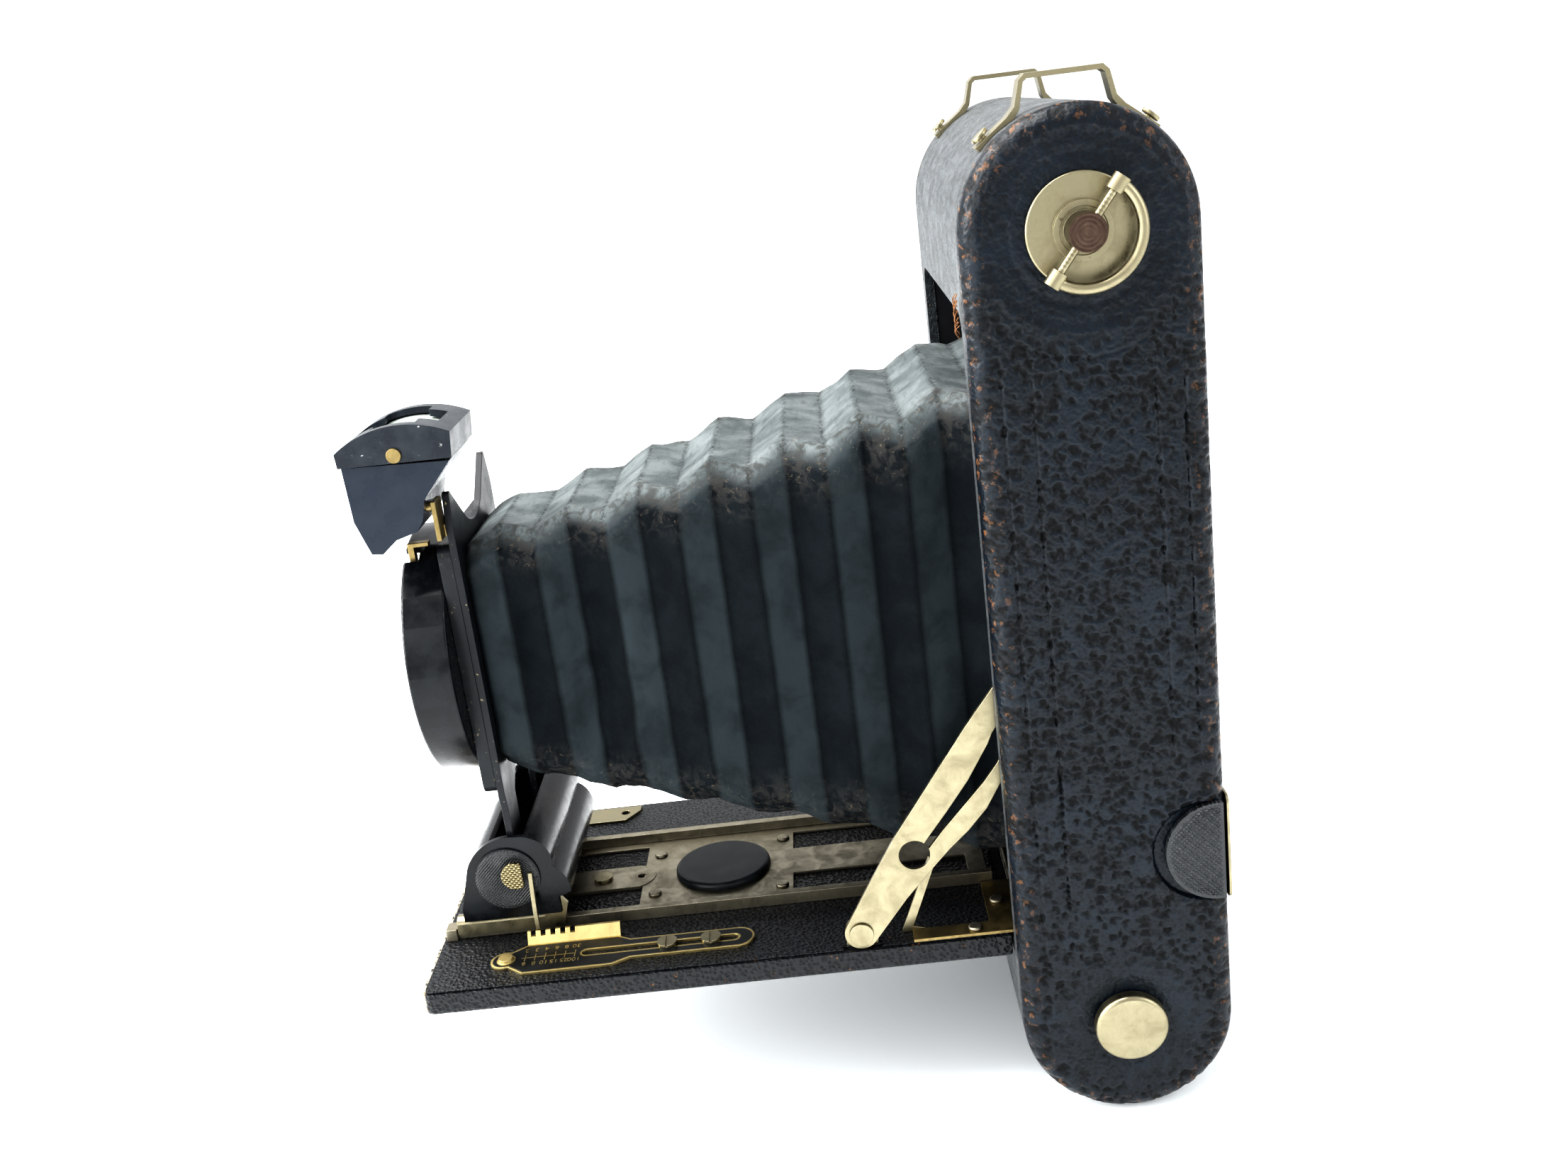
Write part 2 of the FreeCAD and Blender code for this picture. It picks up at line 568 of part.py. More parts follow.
def strut_fittings():
    (y, z) = DIMS["pivot_y"], DIMS["pivot_z"]
    lug = pad("lug_plate", "YZ", [
        (y + 4, 46.7), (y + 4, z), (y - 4, z, y, z + 4), (y - 4, 46.7)], 1.2, (45.6, 0, 0),
        circles=())
    foot = box("lug_foot", (41, 46.8), (y - 4, y + 4), ("lining_high", "plate_high"))
    rivet = [cyl("strut_rivet_stem", 1.5, 3.4, "x", 45, y, z),
             cyl("strut_rivet_head", 3, 0.7, "x", 48.3, y, z)]
    lug = fuse("strut_lug_near", lug, foot, *rivet)
    part("strut_lugs", group("strut_lugs", lug, mirror("strut_lug_far", lug)))
    spring = pad("spring_solid", "YZ", [
        (-52.5, 46.7), (-46.5, 46.7), (-46.5, 47.4), (-49.6, 48.2), (-42.2, 66.4), (-44.2, 67.2),
        (-52.2, 48.2), (-52.5, 47.4)], 0.9, (42.3, 0, 0))
    part("strut_springs", group("strut_springs", spring, mirror("spring_far", spring)))


def strut():
    """Plate with a long slot and a keyhole, pivoted on the bed's lug."""
    half = DIMS["slot_half"]
    low, high, end = SLOT_DROP + half, SLOT_DROP - half, DIMS["stud_reach"] + 3.4
    points = [strut_at(0, -4.2), strut_at(0, 4.2) + strut_at(-4.2, 0)] + [strut_at(*p) for p in (
        (14, 4.9), (24.4, 6.2), (30.7, 7.1), (37.2, 8.5), (44.4, 9.3), (52.6, 8.6), (62, 7.2),
        (76, 6.2), (79, 4.5), (79, -3.5), (76, -5.7), (60, -6.3), (27.8, -6.3), (14.5, -5.4))]
    plate = pad("strut_plate", "YZ", points, "strut_thick", ("strut_inner", 0, 0))
    slot = pad("strut_slot", "YZ", [strut_at(*p) for p in (
        (24, 2.3), (34, 3), (41, 3.9), (50, 5), (56, 5.2), (59.5, 4.5), (62, low), (end, low),
        (end, high), (62, high), (59, 0.7), (48.5, 1.5), (38.8, 1.3), (30.7, 0.9), (24, 0.8))],
        4, (45.6, 0, 0))
    ky, kz = strut_at(25.1, 0.4)
    hole = cyl("strut_keyhole", 3.8, 4, "x", 45.6, ky, kz)
    bore = cyl("strut_bore", 1.56, 4, "x", 45.6, "pivot_y", "pivot_z")
    near_strut = cut("strut_near", plate, slot, hole, bore)
    part("strut_near", near_strut)
    part("strut_far", mirror("strut_far", near_strut))


# ---- front standard -----------------------------------------------------


def carriage():
    """Sliding base: two rounded cheeks joined by a floor, a front cover and a rear saddle."""
    outer = [(-166.7, 53), (-166.7, 56.5), (-163.6, 67.5), (-149.5, 76, -158, 74.4),
             (-141, 66.6, -142.8, 73), (-140.8, 53)]
    cheeks = [pad("cheek%d" % i, "YZ", outer, 1.5, (x, 0, 0)) for i, x in enumerate((24.1, -25.6))]
    floor = box("carriage_floor", ("0 - base_half", "base_half"), (-166.7, -140.8), (53, 54.2))
    front = pad("front_cover", "YZ", [
        (-166.7, 53), (-166.7, 56.5), (-163.6, 67.5), (-157.4, 73.9, -161.2, 71.6),
        (-156.6, 72.8), (-162.5, 66.9, -160.2, 70.7), (-165.5, 56.3), (-165.5, 53)],
        "base_half + base_half", ("0 - base_half", 0, 0))
    saddle = pad("rear_saddle", "YZ", [
        (-147.6, 75.6), (-141, 66.6, -142.6, 73), (-137.4, 60, -138.2, 63.4), (-137.4, 58.8),
        (-140.8, 57.6), (-140.8, 53), (-142, 53), (-142, 60), (-148.2, 74.4, -143.9, 70.6)],
        "base_half + base_half", ("0 - base_half", 0, 0))
    pads = [cyl("cheek_pad%d" % i, 8.7, 0.6, "x", x, -153.3, 64.5) for i, x in enumerate((25.6, -26.2))]
    hole = cyl("button_holes", 1.6, 60, "x", -30, -150.5, 66.3)
    part("carriage", cut("carriage", fuse("carriage_f", *cheeks, floor, front, saddle, *pads), hole))


def shoe(name):
    """Channel that rides on a rail, drawn on the near side."""
    solid = pad(name + "_solid", "XZ", [
        (19.2, 48.3), (24, 48.3), (24, 51.4), (19.2, 51.4, 21.6, 53)], 28.6, (0, -140.9, 0))
    groove = box(name + "_groove", ("rail_inner - 0.08", "rail_outer + 0.08"), (-172, -139),
                 (47, "rail_high + 0.1"))
    return cut(name, solid, groove)


def shoes():
    tab = pad("shoe_tab", "YZ", [
        (-145.6, 48.6), (-140.9, 48.6), (-138.9, 55.2), (-140.6, 57.4), (-145.6, 52.6)],
        0.9, (23.9, 0, 0))
    near_shoe = cut("shoe_near", fuse("shoe_tabbed", shoe("shoe_plain"), tab),
                    box("shoe_clear", (23, 26), (-146, -140.7), (53, 60)))
    part("shoes", group("shoes", near_shoe, mirror("shoe_far", shoe("far_shoe"))))


def release_button(name, far):
    disc = cyl(name + "_disc", 3.7, 1.2, "x", 27.5, -150.5, 66.3)
    keep = box(name + "_keep", (27, 30), (-155, -148.6), (60, 72))
    stem = cyl(name + "_stem", 1.5, 2.3, "x", 25.3, -150.5, 66.3)
    made = fuse(name + "_made", common(name + "_moon", disc, keep), stem)
    part(name, mirror(name, made) if far else made)


def pointer():
    part("focus_pointer", pad("focus_pointer", "XZ", [
        (26.2, 66), (27.2, 66), (29.2, 56), (29.2, 50.75), (28.3, 50.75), (28.3, 55.6),
        (26.4, 61.2), (26.2, 61.2)], 1.1, (0, -146.4, 0)))


def uprights():
    h = DIMS["upright_half"] - 0.7
    plate = pad("upright_solid", "XZ", [
        (h, 54.2), (h, 84), (DIMS["upright_half"], 88), (DIMS["upright_half"], 160),
        (22.6, 167.2), (20.6, 167.6, 21.8, 168.1), (9, 158.2), (-9, 158.2, 0, 155.8), (-20.6, 167.6),
        (-22.6, 167.2, -21.8, 168.1), (-DIMS["upright_half"], 160), (-DIMS["upright_half"], 88),
        (-h, 84), (-h, 54.2), (-13, 54.2), (-13, 84), (13, 84, 0, 90), (13, 54.2)],
        "upright_back - upright_front", (0, "upright_back", 0))
    hole = cyl("upright_hole", 20, 4, "y", 0, -153, "lens_height")
    part("front_upright", cut("front_upright", plate, hole))
    board = box("board_solid", ("0 - upright_half", "upright_half"), ("board_front", "upright_front"),
                (88.2, 155))
    board = fillet("board_round", board, 3, lambda e: vertical(e, "y"))
    part("lens_board", cut("lens_board", board, cyl("board_hole", 14.1, 8, "y", 0, -158, "lens_height")))


def shutter():
    """Drum open to the front, with the shutter's face set back inside its rim."""
    z, rim = "lens_height", "shutter_front"
    case = cyl("case_solid", "shutter_radius", 11.1, "y", 0, rim, z)
    case = fillet("case_round", case, 0.7, lambda e: abs(e.CenterOfMass.y + 155.2) < 1e-3
                  or abs(e.CenterOfMass.y + 166.3) < 1e-3)
    part("shutter_case", cut("shutter_case", case, cyl("case_hollow", 31.4, 9.5, "y", 0, rim, z),
                             cyl("case_bore", 14.1, 6, "y", 0, -158, z),
                             box("case_notch", (11.4, 16.6), (-167, -161.2), (145, 156))))
    face = cyl("face_disc", 31.3, 1.6, "y", 0, "face_front", z)
    part("shutter_face", cut("shutter_face", face, cyl("face_bore", 13.05, 8, "y", 0, -168, z),
                             cyl("dial_bore", 1.3, 6, "y", 0, -166, 145.6),
                             cyl("lever_bore", 1.3, 6, "y", 14, -166, 144.6)))
    tube = cyl("tube_solid", 13, 16.5, "y", 0, -165.9, z)
    part("lens_tube", cut("lens_tube", tube, cyl("tube_bore", 11.3, 30, "y", 0, -175, z),
                          ring("tube_thread", 15, 12.6, 1, "y", 0, -165, z)))
    part("shutter_blades", cyl("shutter_blades", 11.3, 0.5, "y", 0, -158.2, z))
    part("iris", ring("iris", 11.3, 5.2, 0.5, "y", 0, -160.8, z))
    lenses = []
    for name, y, sign in (("front_lens", -162.6, -1), ("rear_lens", -155.6, 1)):
        ball = doc.addObject("Part::Sphere", name + "_ball")
        ball.Radius = 26
        at(ball, 0, y - sign * 22.6, z)
        disc = cyl(name + "_disc", 11.3, 4.4, "y", 0, y - (3.4 if sign < 0 else 1), z)
        lenses.append(common(name, ball, disc))
    part("lenses", group("lenses", *lenses))
    pumps = []
    for i, x in enumerate((-20.5, 20.5)):
        barrel = cyl("pump_barrel%d" % i, 3, 24, "z", x, -163, 109.6)
        flat = box("pump_flat%d" % i, (x - 5, x + 5), ("face_front", -158), (100, 140))
        pumps.append(cut("pump%d" % i, barrel, flat))
    part("air_cylinders", group("air_cylinders", *pumps))


def shutter_controls():
    front = "face_front - 1.8"
    dial = fillet("dial_round", cyl("dial_disc", 7.2, 1.6, "y", 0, front, 145.6), 0.4,
                  lambda e: abs(e.CenterOfMass.y + 164.8) < 1e-3)
    pin = cyl("dial_pin", 1.2, 4, "y", 0, front, 145.6)
    grip = box("dial_grip", (-1, 1), (-165.8, -164.4), (139.6, 151.6))
    part("speed_dial", fuse("speed_dial", dial, pin, grip))
    arm = box("lever_arm", (12.8, 15.2), (front, -163.2), (143.4, 154.4))
    hook = box("lever_hook", (12.8, 15.2), (front, -159.4), (153.3, 154.4))
    stem = cyl("lever_stem", 1.2, 4, "y", 14, front, 144.6)
    eye = cyl("lever_eye", 2.4, 1.6, "y", 14, front, 144.6)
    part("release_lever", fuse("release_lever", arm, hook, stem, eye))
    hoop = ring("iris_hoop", 15.6, 13.08, 1.2, "y", 0, -164.4, "lens_height")
    tail = box("iris_tail", (-1.1, 1.1), (-164.4, -163.2), (98, 107.2))
    knob = cyl("iris_knob", 1.6, 2, "y", 0, -166, 99.6)
    part("iris_lever", fuse("iris_lever", hoop, tail, knob))


def finder():
    """Waist-level reflecting finder on a leaf fixed to the near ear of the upright."""
    near_x, far_x = DIMS["finder_near"], DIMS["finder_far"]
    side = [(-172.3, 178.4), (-171.9, 165), (-169.2, 156.7), (-166.5, 156.4), (-162.6, 159.5),
            (-157.2, 161), (-155.4, 163.6), (-154.1, 168.6), (-146.4, 177.4)]
    body = pad("finder_solid", "YZ", side, near_x - far_x, ("finder_far", 0, 0))
    inner = [(-171.2, 180), (-170.8, 165.2), (-168.6, 158.6), (-157.8, 162.4), (-156.3, 164.6),
             (-155.3, 169), (-148, 177.2), (-148, 180)]
    room = pad("finder_room", "YZ", inner, near_x - far_x - 2.4, ("finder_far + 1.2", 0, 0))
    eye = cyl("finder_eye", 4.2, 4, "y", 18, -173, 168.4)
    pin = cyl("finder_pin_hole", 1.25, 6, "y", 26, -158, 166)
    part("finder_body", cut("finder_body", body, room, eye, pin))
    band = pad("finder_band", "YZ", [
        (-173, 178.5), (-145.6, 178.1), (-144.9, 184.4), (-173.2, 182, -159.5, 187.2)],
        near_x - far_x + 1.2, ("finder_far - 0.6", 0, 0))
    hollow = pad("finder_hollow", "YZ", [
        (-172, 177), (-146.8, 177), (-146.3, 182.9), (-172.2, 181, -159.5, 185.6)],
        near_x - far_x - 1.2, ("finder_far + 0.6", 0, 0))
    cross = [box("finder_cross0", (8.4, 27.6), (-164.6, -153.4), (176, 190)),
             box("finder_cross1", (12.6, 23.4), (-169.6, -148.8), (176, 190))]
    part("finder_hood", cut("finder_hood", band, hollow, *cross))
    glass = pad("finder_glass", "YZ", [
        (-171.8, 178.6), (-147, 178.6), (-146.5, 182.4), (-172, 180.6, -159.5, 185.1)],
        near_x - far_x - 1.6, ("finder_far + 0.8", 0, 0))
    part("finder_glass", glass)
    objective = ring("finder_objective", 5, 3.4, 1.4, "y", 18, -173.6, 168.4)
    part("finder_objective", group("finder_objective", objective,
                                   cyl("finder_front_lens", 3.4, 1.6, "y", 18, -173.4, 168.4)))
    screws = [cyl("finder_screw%d" % i, 1.8, 0.7, "x", x, -159, 180.2)
              for i, x in enumerate((30.6, 4.7))]
    part("finder_screws", group("finder_screws", *screws))
    leaf = box("leaf_strip", (22, 28.4), (-153.4, -152.2), (157.6, 167.4))
    foot = box("leaf_foot", (15.6, 24.4), (-153.4, -151.8), (157.6, 160.6))
    stud = cyl("leaf_stud", 1.2, 4.6, "y", 26, -157, 166)
    part("finder_bracket", fuse("finder_bracket", leaf, foot, stud))


# ---- bellows ------------------------------------------------------------


def bellows():
    """Pleated leather bellows with the light path left open through it."""
    pleats, front, back = 9, -149.9, 14.9
    sections = []
    for i in range(2 * pleats + 1):
        t = i / (2 * pleats)
        y = front + (back - front) * t
        widening = min(t / 0.78, 1)
        deep = 0.0 if i % 2 else 2.6 + 1.6 * t
        half, tall = 22.5 + 22.4 * widening - deep, 32.4 + 29.4 * widening - deep
        mid = 122.8 - 1.0 * widening
        sketch = doc.addObject("Sketcher::SketchObject", "pleat%02d" % i)
        outline(sketch, [(half, mid - tall + 6), (half, mid + tall - 6), (half - 6, mid + tall),
                         (-half + 6, mid + tall), (-half, mid + tall - 6), (-half, mid - tall + 6),
                         (-half + 6, mid - tall), (half - 6, mid - tall)], ())
        sketch.Placement = Placement(Vector(0, y, 0), Rotation(Vector(1, 0, 0), 90))
        sections.append(sketch)
    outer = doc.addObject("Part::Loft", "bellows_outer")
    outer.Sections, outer.Solid, outer.Ruled = sections, True, True
    ends = []
    for i, (y, half, tall) in enumerate(((front - 1, 17.5, 26.5), (back + 1, 38.5, 55))):
        sketch = doc.addObject("Sketcher::SketchObject", "light_path%d" % i)
        outline(sketch, [(half, 122 - tall), (half, 122 + tall),
                         (-half, 122 + tall), (-half, 122 - tall)], ())
        sketch.Placement = Placement(Vector(0, y, 0), Rotation(Vector(1, 0, 0), 90))
        ends.append(sketch)
    inner = doc.addObject("Part::Loft", "bellows_inner")
    inner.Sections, inner.Solid, inner.Ruled = ends, True, True
    doc.recompute()
    part("bellows", cut("bellows", outer, inner))


body_shell()
side_caps()
back_cover()
latch_button()
inner_frame()
rollers()
spool("supply_spool", DIMS["pin_z"], False)
spool("takeup_spool", DIMS["key_z"], True)
spool_knob("knob_near_lower", DIMS["pin_z"], False)
spool_knob("knob_far_lower", DIMS["pin_z"], True)
spool_knob("knob_far_upper", DIMS["key_z"], True)
winding_key()
strap_brackets()
hinge()
bed()
tripod_bush()
track()
catch_plate()
focus_scale()
hinge_leaves()
strut_fittings()
strut()
carriage()
shoes()
release_button("release_button_near", False)
release_button("release_button_far", True)
pointer()
uprights()
shutter()
shutter_controls()
finder()
bellows()
doc.recompute()

for obj in doc.Objects:
    if {"Invalid", "Error"} & set(obj.State):
        raise RuntimeError("%s did not recompute: %s" % (obj.Name, obj.State))
os.makedirs("parts", exist_ok=True)
for node, obj in PARTS:
    if obj.Shape.isNull() or not obj.Shape.isValid() or not obj.Shape.Solids:
        raise RuntimeError("%s has no valid shape" % node)
    obj.Shape.exportStep("parts/%s.step" % node)
    print(node, len(obj.Shape.Solids), round(obj.Shape.Volume, 1))
print(len(PARTS), "nodes")
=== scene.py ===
import json
import math

import bmesh
import bpy
from mathutils import Matrix, Vector, noise

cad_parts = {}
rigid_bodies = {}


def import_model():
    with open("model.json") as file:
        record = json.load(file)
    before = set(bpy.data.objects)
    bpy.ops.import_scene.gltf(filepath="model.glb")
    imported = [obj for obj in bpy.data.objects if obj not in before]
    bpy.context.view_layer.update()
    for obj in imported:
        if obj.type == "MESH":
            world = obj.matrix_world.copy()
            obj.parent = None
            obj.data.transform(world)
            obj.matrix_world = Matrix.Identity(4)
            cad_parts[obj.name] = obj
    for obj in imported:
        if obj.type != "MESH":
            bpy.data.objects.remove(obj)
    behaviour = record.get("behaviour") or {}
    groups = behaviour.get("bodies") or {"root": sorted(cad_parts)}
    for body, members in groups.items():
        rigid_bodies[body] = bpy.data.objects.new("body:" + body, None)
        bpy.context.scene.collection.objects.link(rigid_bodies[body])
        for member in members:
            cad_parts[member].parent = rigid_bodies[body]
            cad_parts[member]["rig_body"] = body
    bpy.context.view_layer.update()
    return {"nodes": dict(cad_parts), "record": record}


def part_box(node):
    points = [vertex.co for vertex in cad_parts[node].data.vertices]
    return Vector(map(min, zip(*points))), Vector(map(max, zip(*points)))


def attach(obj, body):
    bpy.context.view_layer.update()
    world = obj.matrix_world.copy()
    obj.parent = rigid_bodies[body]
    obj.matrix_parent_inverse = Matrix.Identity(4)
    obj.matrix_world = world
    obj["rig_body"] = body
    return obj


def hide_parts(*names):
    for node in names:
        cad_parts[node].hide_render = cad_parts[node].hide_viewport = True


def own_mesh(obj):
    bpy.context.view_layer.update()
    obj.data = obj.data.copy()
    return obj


# Looks of the folding roll-film camera.  Metres, in the frame of the CAD: X across the body
# (+X is the winding-key side), -Y towards the lens, Z up the long axis, floor at z = 0.

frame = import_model()
NODES = frame["nodes"]
MM = 0.001
noise.seed_set(1)            # vector noise otherwise takes its offsets from the clock
LOW, HIGH = 25.4, 215.9      # centres of the body's rounded ends, in mm


# ---- node materials -------------------------------------------------------


class Look:
    """A Principled material being built; its nodes read object coordinates, in metres."""

    def __init__(self, name, **sockets):
        self.mat = bpy.data.materials.new(name)
        self.mat.use_nodes = True
        self.tree = self.mat.node_tree
        self.shader = self.tree.nodes["Principled BSDF"]
        for socket, value in sockets.items():
            self.shader.inputs[socket.replace("_", " ")].default_value = value
        self.place = self.tree.nodes.new("ShaderNodeTexCoord").outputs["Object"]
        self.height = None

    def node(self, kind, inputs=(), **settings):
        made = self.tree.nodes.new("ShaderNode" + kind)
        for key, value in settings.items():
            setattr(made, key, value)
        for key, value in dict(inputs).items():
            self.join(value, made.inputs[key])
        return made

    def join(self, value, socket):
        if isinstance(value, bpy.types.NodeSocket):
            self.tree.links.new(value, socket)
        else:
            socket.default_value = value

    def noise(self, size, detail=4.0, rough=0.55, warp=0.0, place=None):
        """Fractal noise whose main features are `size` metres across."""
        made = self.node("TexNoise", {"Vector": place or self.place, "Scale": 1 / size,
                                      "Detail": detail, "Roughness": rough, "Distortion": warp})
        return made.outputs["Fac"]

    def cells(self, size, feature="F1", random=1.0, place=None, out="Distance"):
        made = self.node("TexVoronoi", {"Vector": place or self.place, "Scale": 1 / size,
                                        "Randomness": random}, feature=feature)
        return made.outputs[out]

    def stretched(self, x=1.0, y=1.0, z=1.0, turn=(0, 0, 0)):
        made = self.node("Mapping", {"Vector": self.place, "Scale": (x, y, z), "Rotation": turn})
        return made.outputs["Vector"]

    def warped(self, size, amount, place=None):
        """The place pushed about by a noise, in metres."""
        shift = self.node("TexNoise", {"Vector": place or self.place, "Scale": 1 / size,
                                       "Detail": 2.0}).outputs["Color"]
        centred = self.node("VectorMath", {0: shift, 1: (0.5, 0.5, 0.5)}, operation="SUBTRACT")
        scaled = self.node("VectorMath", {0: centred.outputs[0], "Scale": amount},
                           operation="SCALE")
        return self.node("VectorMath", {0: place or self.place, 1: scaled.outputs[0]},
                         operation="ADD").outputs[0]

    def ramp(self, value, low, high, to=(0.0, 1.0)):
        made = self.node("MapRange", {"Value": value, "From Min": low, "From Max": high,
                                      "To Min": to[0], "To Max": to[1]},
                         interpolation_type="SMOOTHSTEP")
        return made.outputs["Result"]

    def math(self, kind, a, b=0.0):
        return self.node("Math", {0: a, 1: b}, operation=kind).outputs[0]

    def mix(self, factor, a, b):
        made = self.tree.nodes.new("ShaderNodeMix")
        made.data_type = "RGBA"
        rgba = lambda c: (*c, 1.0) if isinstance(c, tuple) and len(c) == 3 else c
        for socket, value in ((made.inputs[0], factor), (made.inputs[6], rgba(a)),
                              (made.inputs[7], rgba(b))):
            self.join(value, socket)
        return made.outputs[2]

    def axis(self, which):
        return self.node("SeparateXYZ", {0: self.place}).outputs[which]

    def stored(self, name):
        """A value kept on the mesh's points."""
        return self.node("Attribute", attribute_name=name).outputs["Fac"]

    def bump(self, height, depth, strength=1.0):
        """Adds a relief `depth` metres deep where height runs from 0 to 1."""
        inputs = {"Height": height, "Strength": strength, "Distance": depth}
        if self.height:
            inputs["Normal"] = self.height
        self.height = self.node("Bump", inputs).outputs["Normal"]
        return self

    def done(self, colour=None, rough=None):
        if colour is not None:
            self.join(colour, self.shader.inputs["Base Color"])
        if rough is not None:
            self.join(rough, self.shader.inputs["Roughness"])
        if self.height:
            self.tree.links.new(self.height, self.shader.inputs["Normal"])
        return self.mat


def seal_leather(name, top, pit, grain=0.3, scuffed=(0.16, 0.075, 0.032)):
    """Black pebbled leather: pits kept on the mesh, glossy pads, brown scuffed edges; the pads are
    painted a lighter blue-grey as painted sheen and the pits painted darker as painted shade.
    """
    look = Look(name, Specular_IOR_Level=0.24)
    deep = look.stored("pit")
    fine = look.cells(0.85 * MM, feature="SMOOTH_F1", place=look.warped(1.2 * MM, 0.7 * MM))
    look.bump(fine, 0.16 * MM * grain / 0.3, 0.8)
    look.bump(look.noise(0.35 * MM, 3, 0.7), 0.05 * MM, 0.6)
    patch = look.noise(14 * MM, 3, 0.6)
    # Painted sheen and shade: the raised pads take the lighter blue-grey `top` colour and the
    # dimples between them the dark `pit` colour.
    tone = look.mix(look.ramp(fine, 0.1, 0.6), pit, top)
    # Painted shade: the deep pits kept on the mesh are darkened further, to a quarter of the pit
    # colour.
    tone = look.mix(deep, tone, tuple(c * 0.25 for c in pit))
    tone = look.mix(look.ramp(patch, 0.42, 0.7, (0.0, 0.5)), tone,
                    look.mix(deep, tuple(c * 1.9 for c in top), pit))
    scuff = look.ramp(look.noise(2.3 * MM, 5, 0.7), 0.57, 0.62)
    wear = look.math("MULTIPLY", look.stored("wear"), scuff)
    tone = look.mix(look.math("MULTIPLY", wear, 0.85), tone, scuffed)
    dust = look.ramp(look.noise(0.8 * MM, 5, 0.8), 0.66, 0.72, (0.0, 0.35))
    tone = look.mix(dust, tone, (0.035, 0.042, 0.048))
    return look.done(tone, look.math("ADD", look.ramp(fine, 0.1, 0.7, (0.42, 0.26)),
                                     look.math("MULTIPLY", deep, 0.35)))


def fine_grain(look, size, reach, push):
    """Relief of small leather pads, `size` mm across; gives 0 between the pads and 1 on them."""
    near = look.warped(reach * MM, push * MM)
    pads = look.ramp(look.cells(size * MM, place=near), 0.18, 0.72)
    look.bump(pads, 0.22 * MM, 0.9)
    return pads


def grained_leather(name, top, pit, size=1.7, rough=(0.30, 0.5)):
    """Thin, finely pebbled leather for the bed and the back: the grain is in the relief, and the
    pads are painted lighter than the gaps between them as painted highlight and shade.
    """
    look = Look(name, Specular_IOR_Level=0.26)
    pads = fine_grain(look, size, 1.5 * size, 0.8 * size)
    look.bump(look.noise(0.35 * MM, 3, 0.7), 0.04 * MM, 0.5)
    # Painted highlight and shade: the pads take the lighter `top` colour and the gaps between them
    # the darker `pit` colour.
    tone = look.mix(pads, pit, top)
    spot = look.ramp(look.noise(2.6 * MM, 5, 0.75), 0.66, 0.70, (0.0, 0.7))
    tone = look.mix(spot, tone, (0.12, 0.06, 0.028))
    return look.done(tone, look.ramp(pads, 0.1, 0.9, (rough[1], rough[0])))


def band_leather():
    """The wrapped leather of the rounded top and the front: flatter, greyer, with short nicks
    painted dark inside as painted shade.
    """
    look = Look("leather_band", Specular_IOR_Level=0.4, Sheen_Weight=0.06, Sheen_Roughness=0.4)
    nick = look.cells(1.0 * MM, place=look.warped(2 * MM, 0.8 * MM, look.stretched(0.5, 1.5, 0.9)))
    cut = look.ramp(nick, 0.02, 0.42)
    patch = look.noise(9 * MM, 4, 0.6)
    streak = look.noise(2.2 * MM, 4, 0.65, place=look.stretched(0.35, 1, 1))
    look.bump(cut, 0.20 * MM, 0.8)
    look.bump(look.noise(0.4 * MM, 3, 0.7), 0.05 * MM, 0.4)
    tone = look.mix(look.ramp(streak, 0.35, 0.7), (0.010, 0.012, 0.014), (0.040, 0.047, 0.052))
    # Painted shade: inside the nicks, where the relief dips, the colour darkens towards near-black.
    tone = look.mix(look.ramp(cut, 0.0, 1.0, (0.75, 0.0)), tone, (0.0025, 0.003, 0.0035))
    edge = look.math("ABSOLUTE", look.axis(0))
    rim = look.ramp(edge, 47 * MM, 53.8 * MM)
    scuff = look.ramp(look.noise(1.6 * MM, 5, 0.7), 0.60, 0.66)
    tone = look.mix(look.math("MULTIPLY", scuff, look.math("MULTIPLY", rim, 0.7)), tone,
                    (0.20, 0.10, 0.045))
    return look.done(tone, look.ramp(patch, 0.3, 0.7, (0.36, 0.55)))


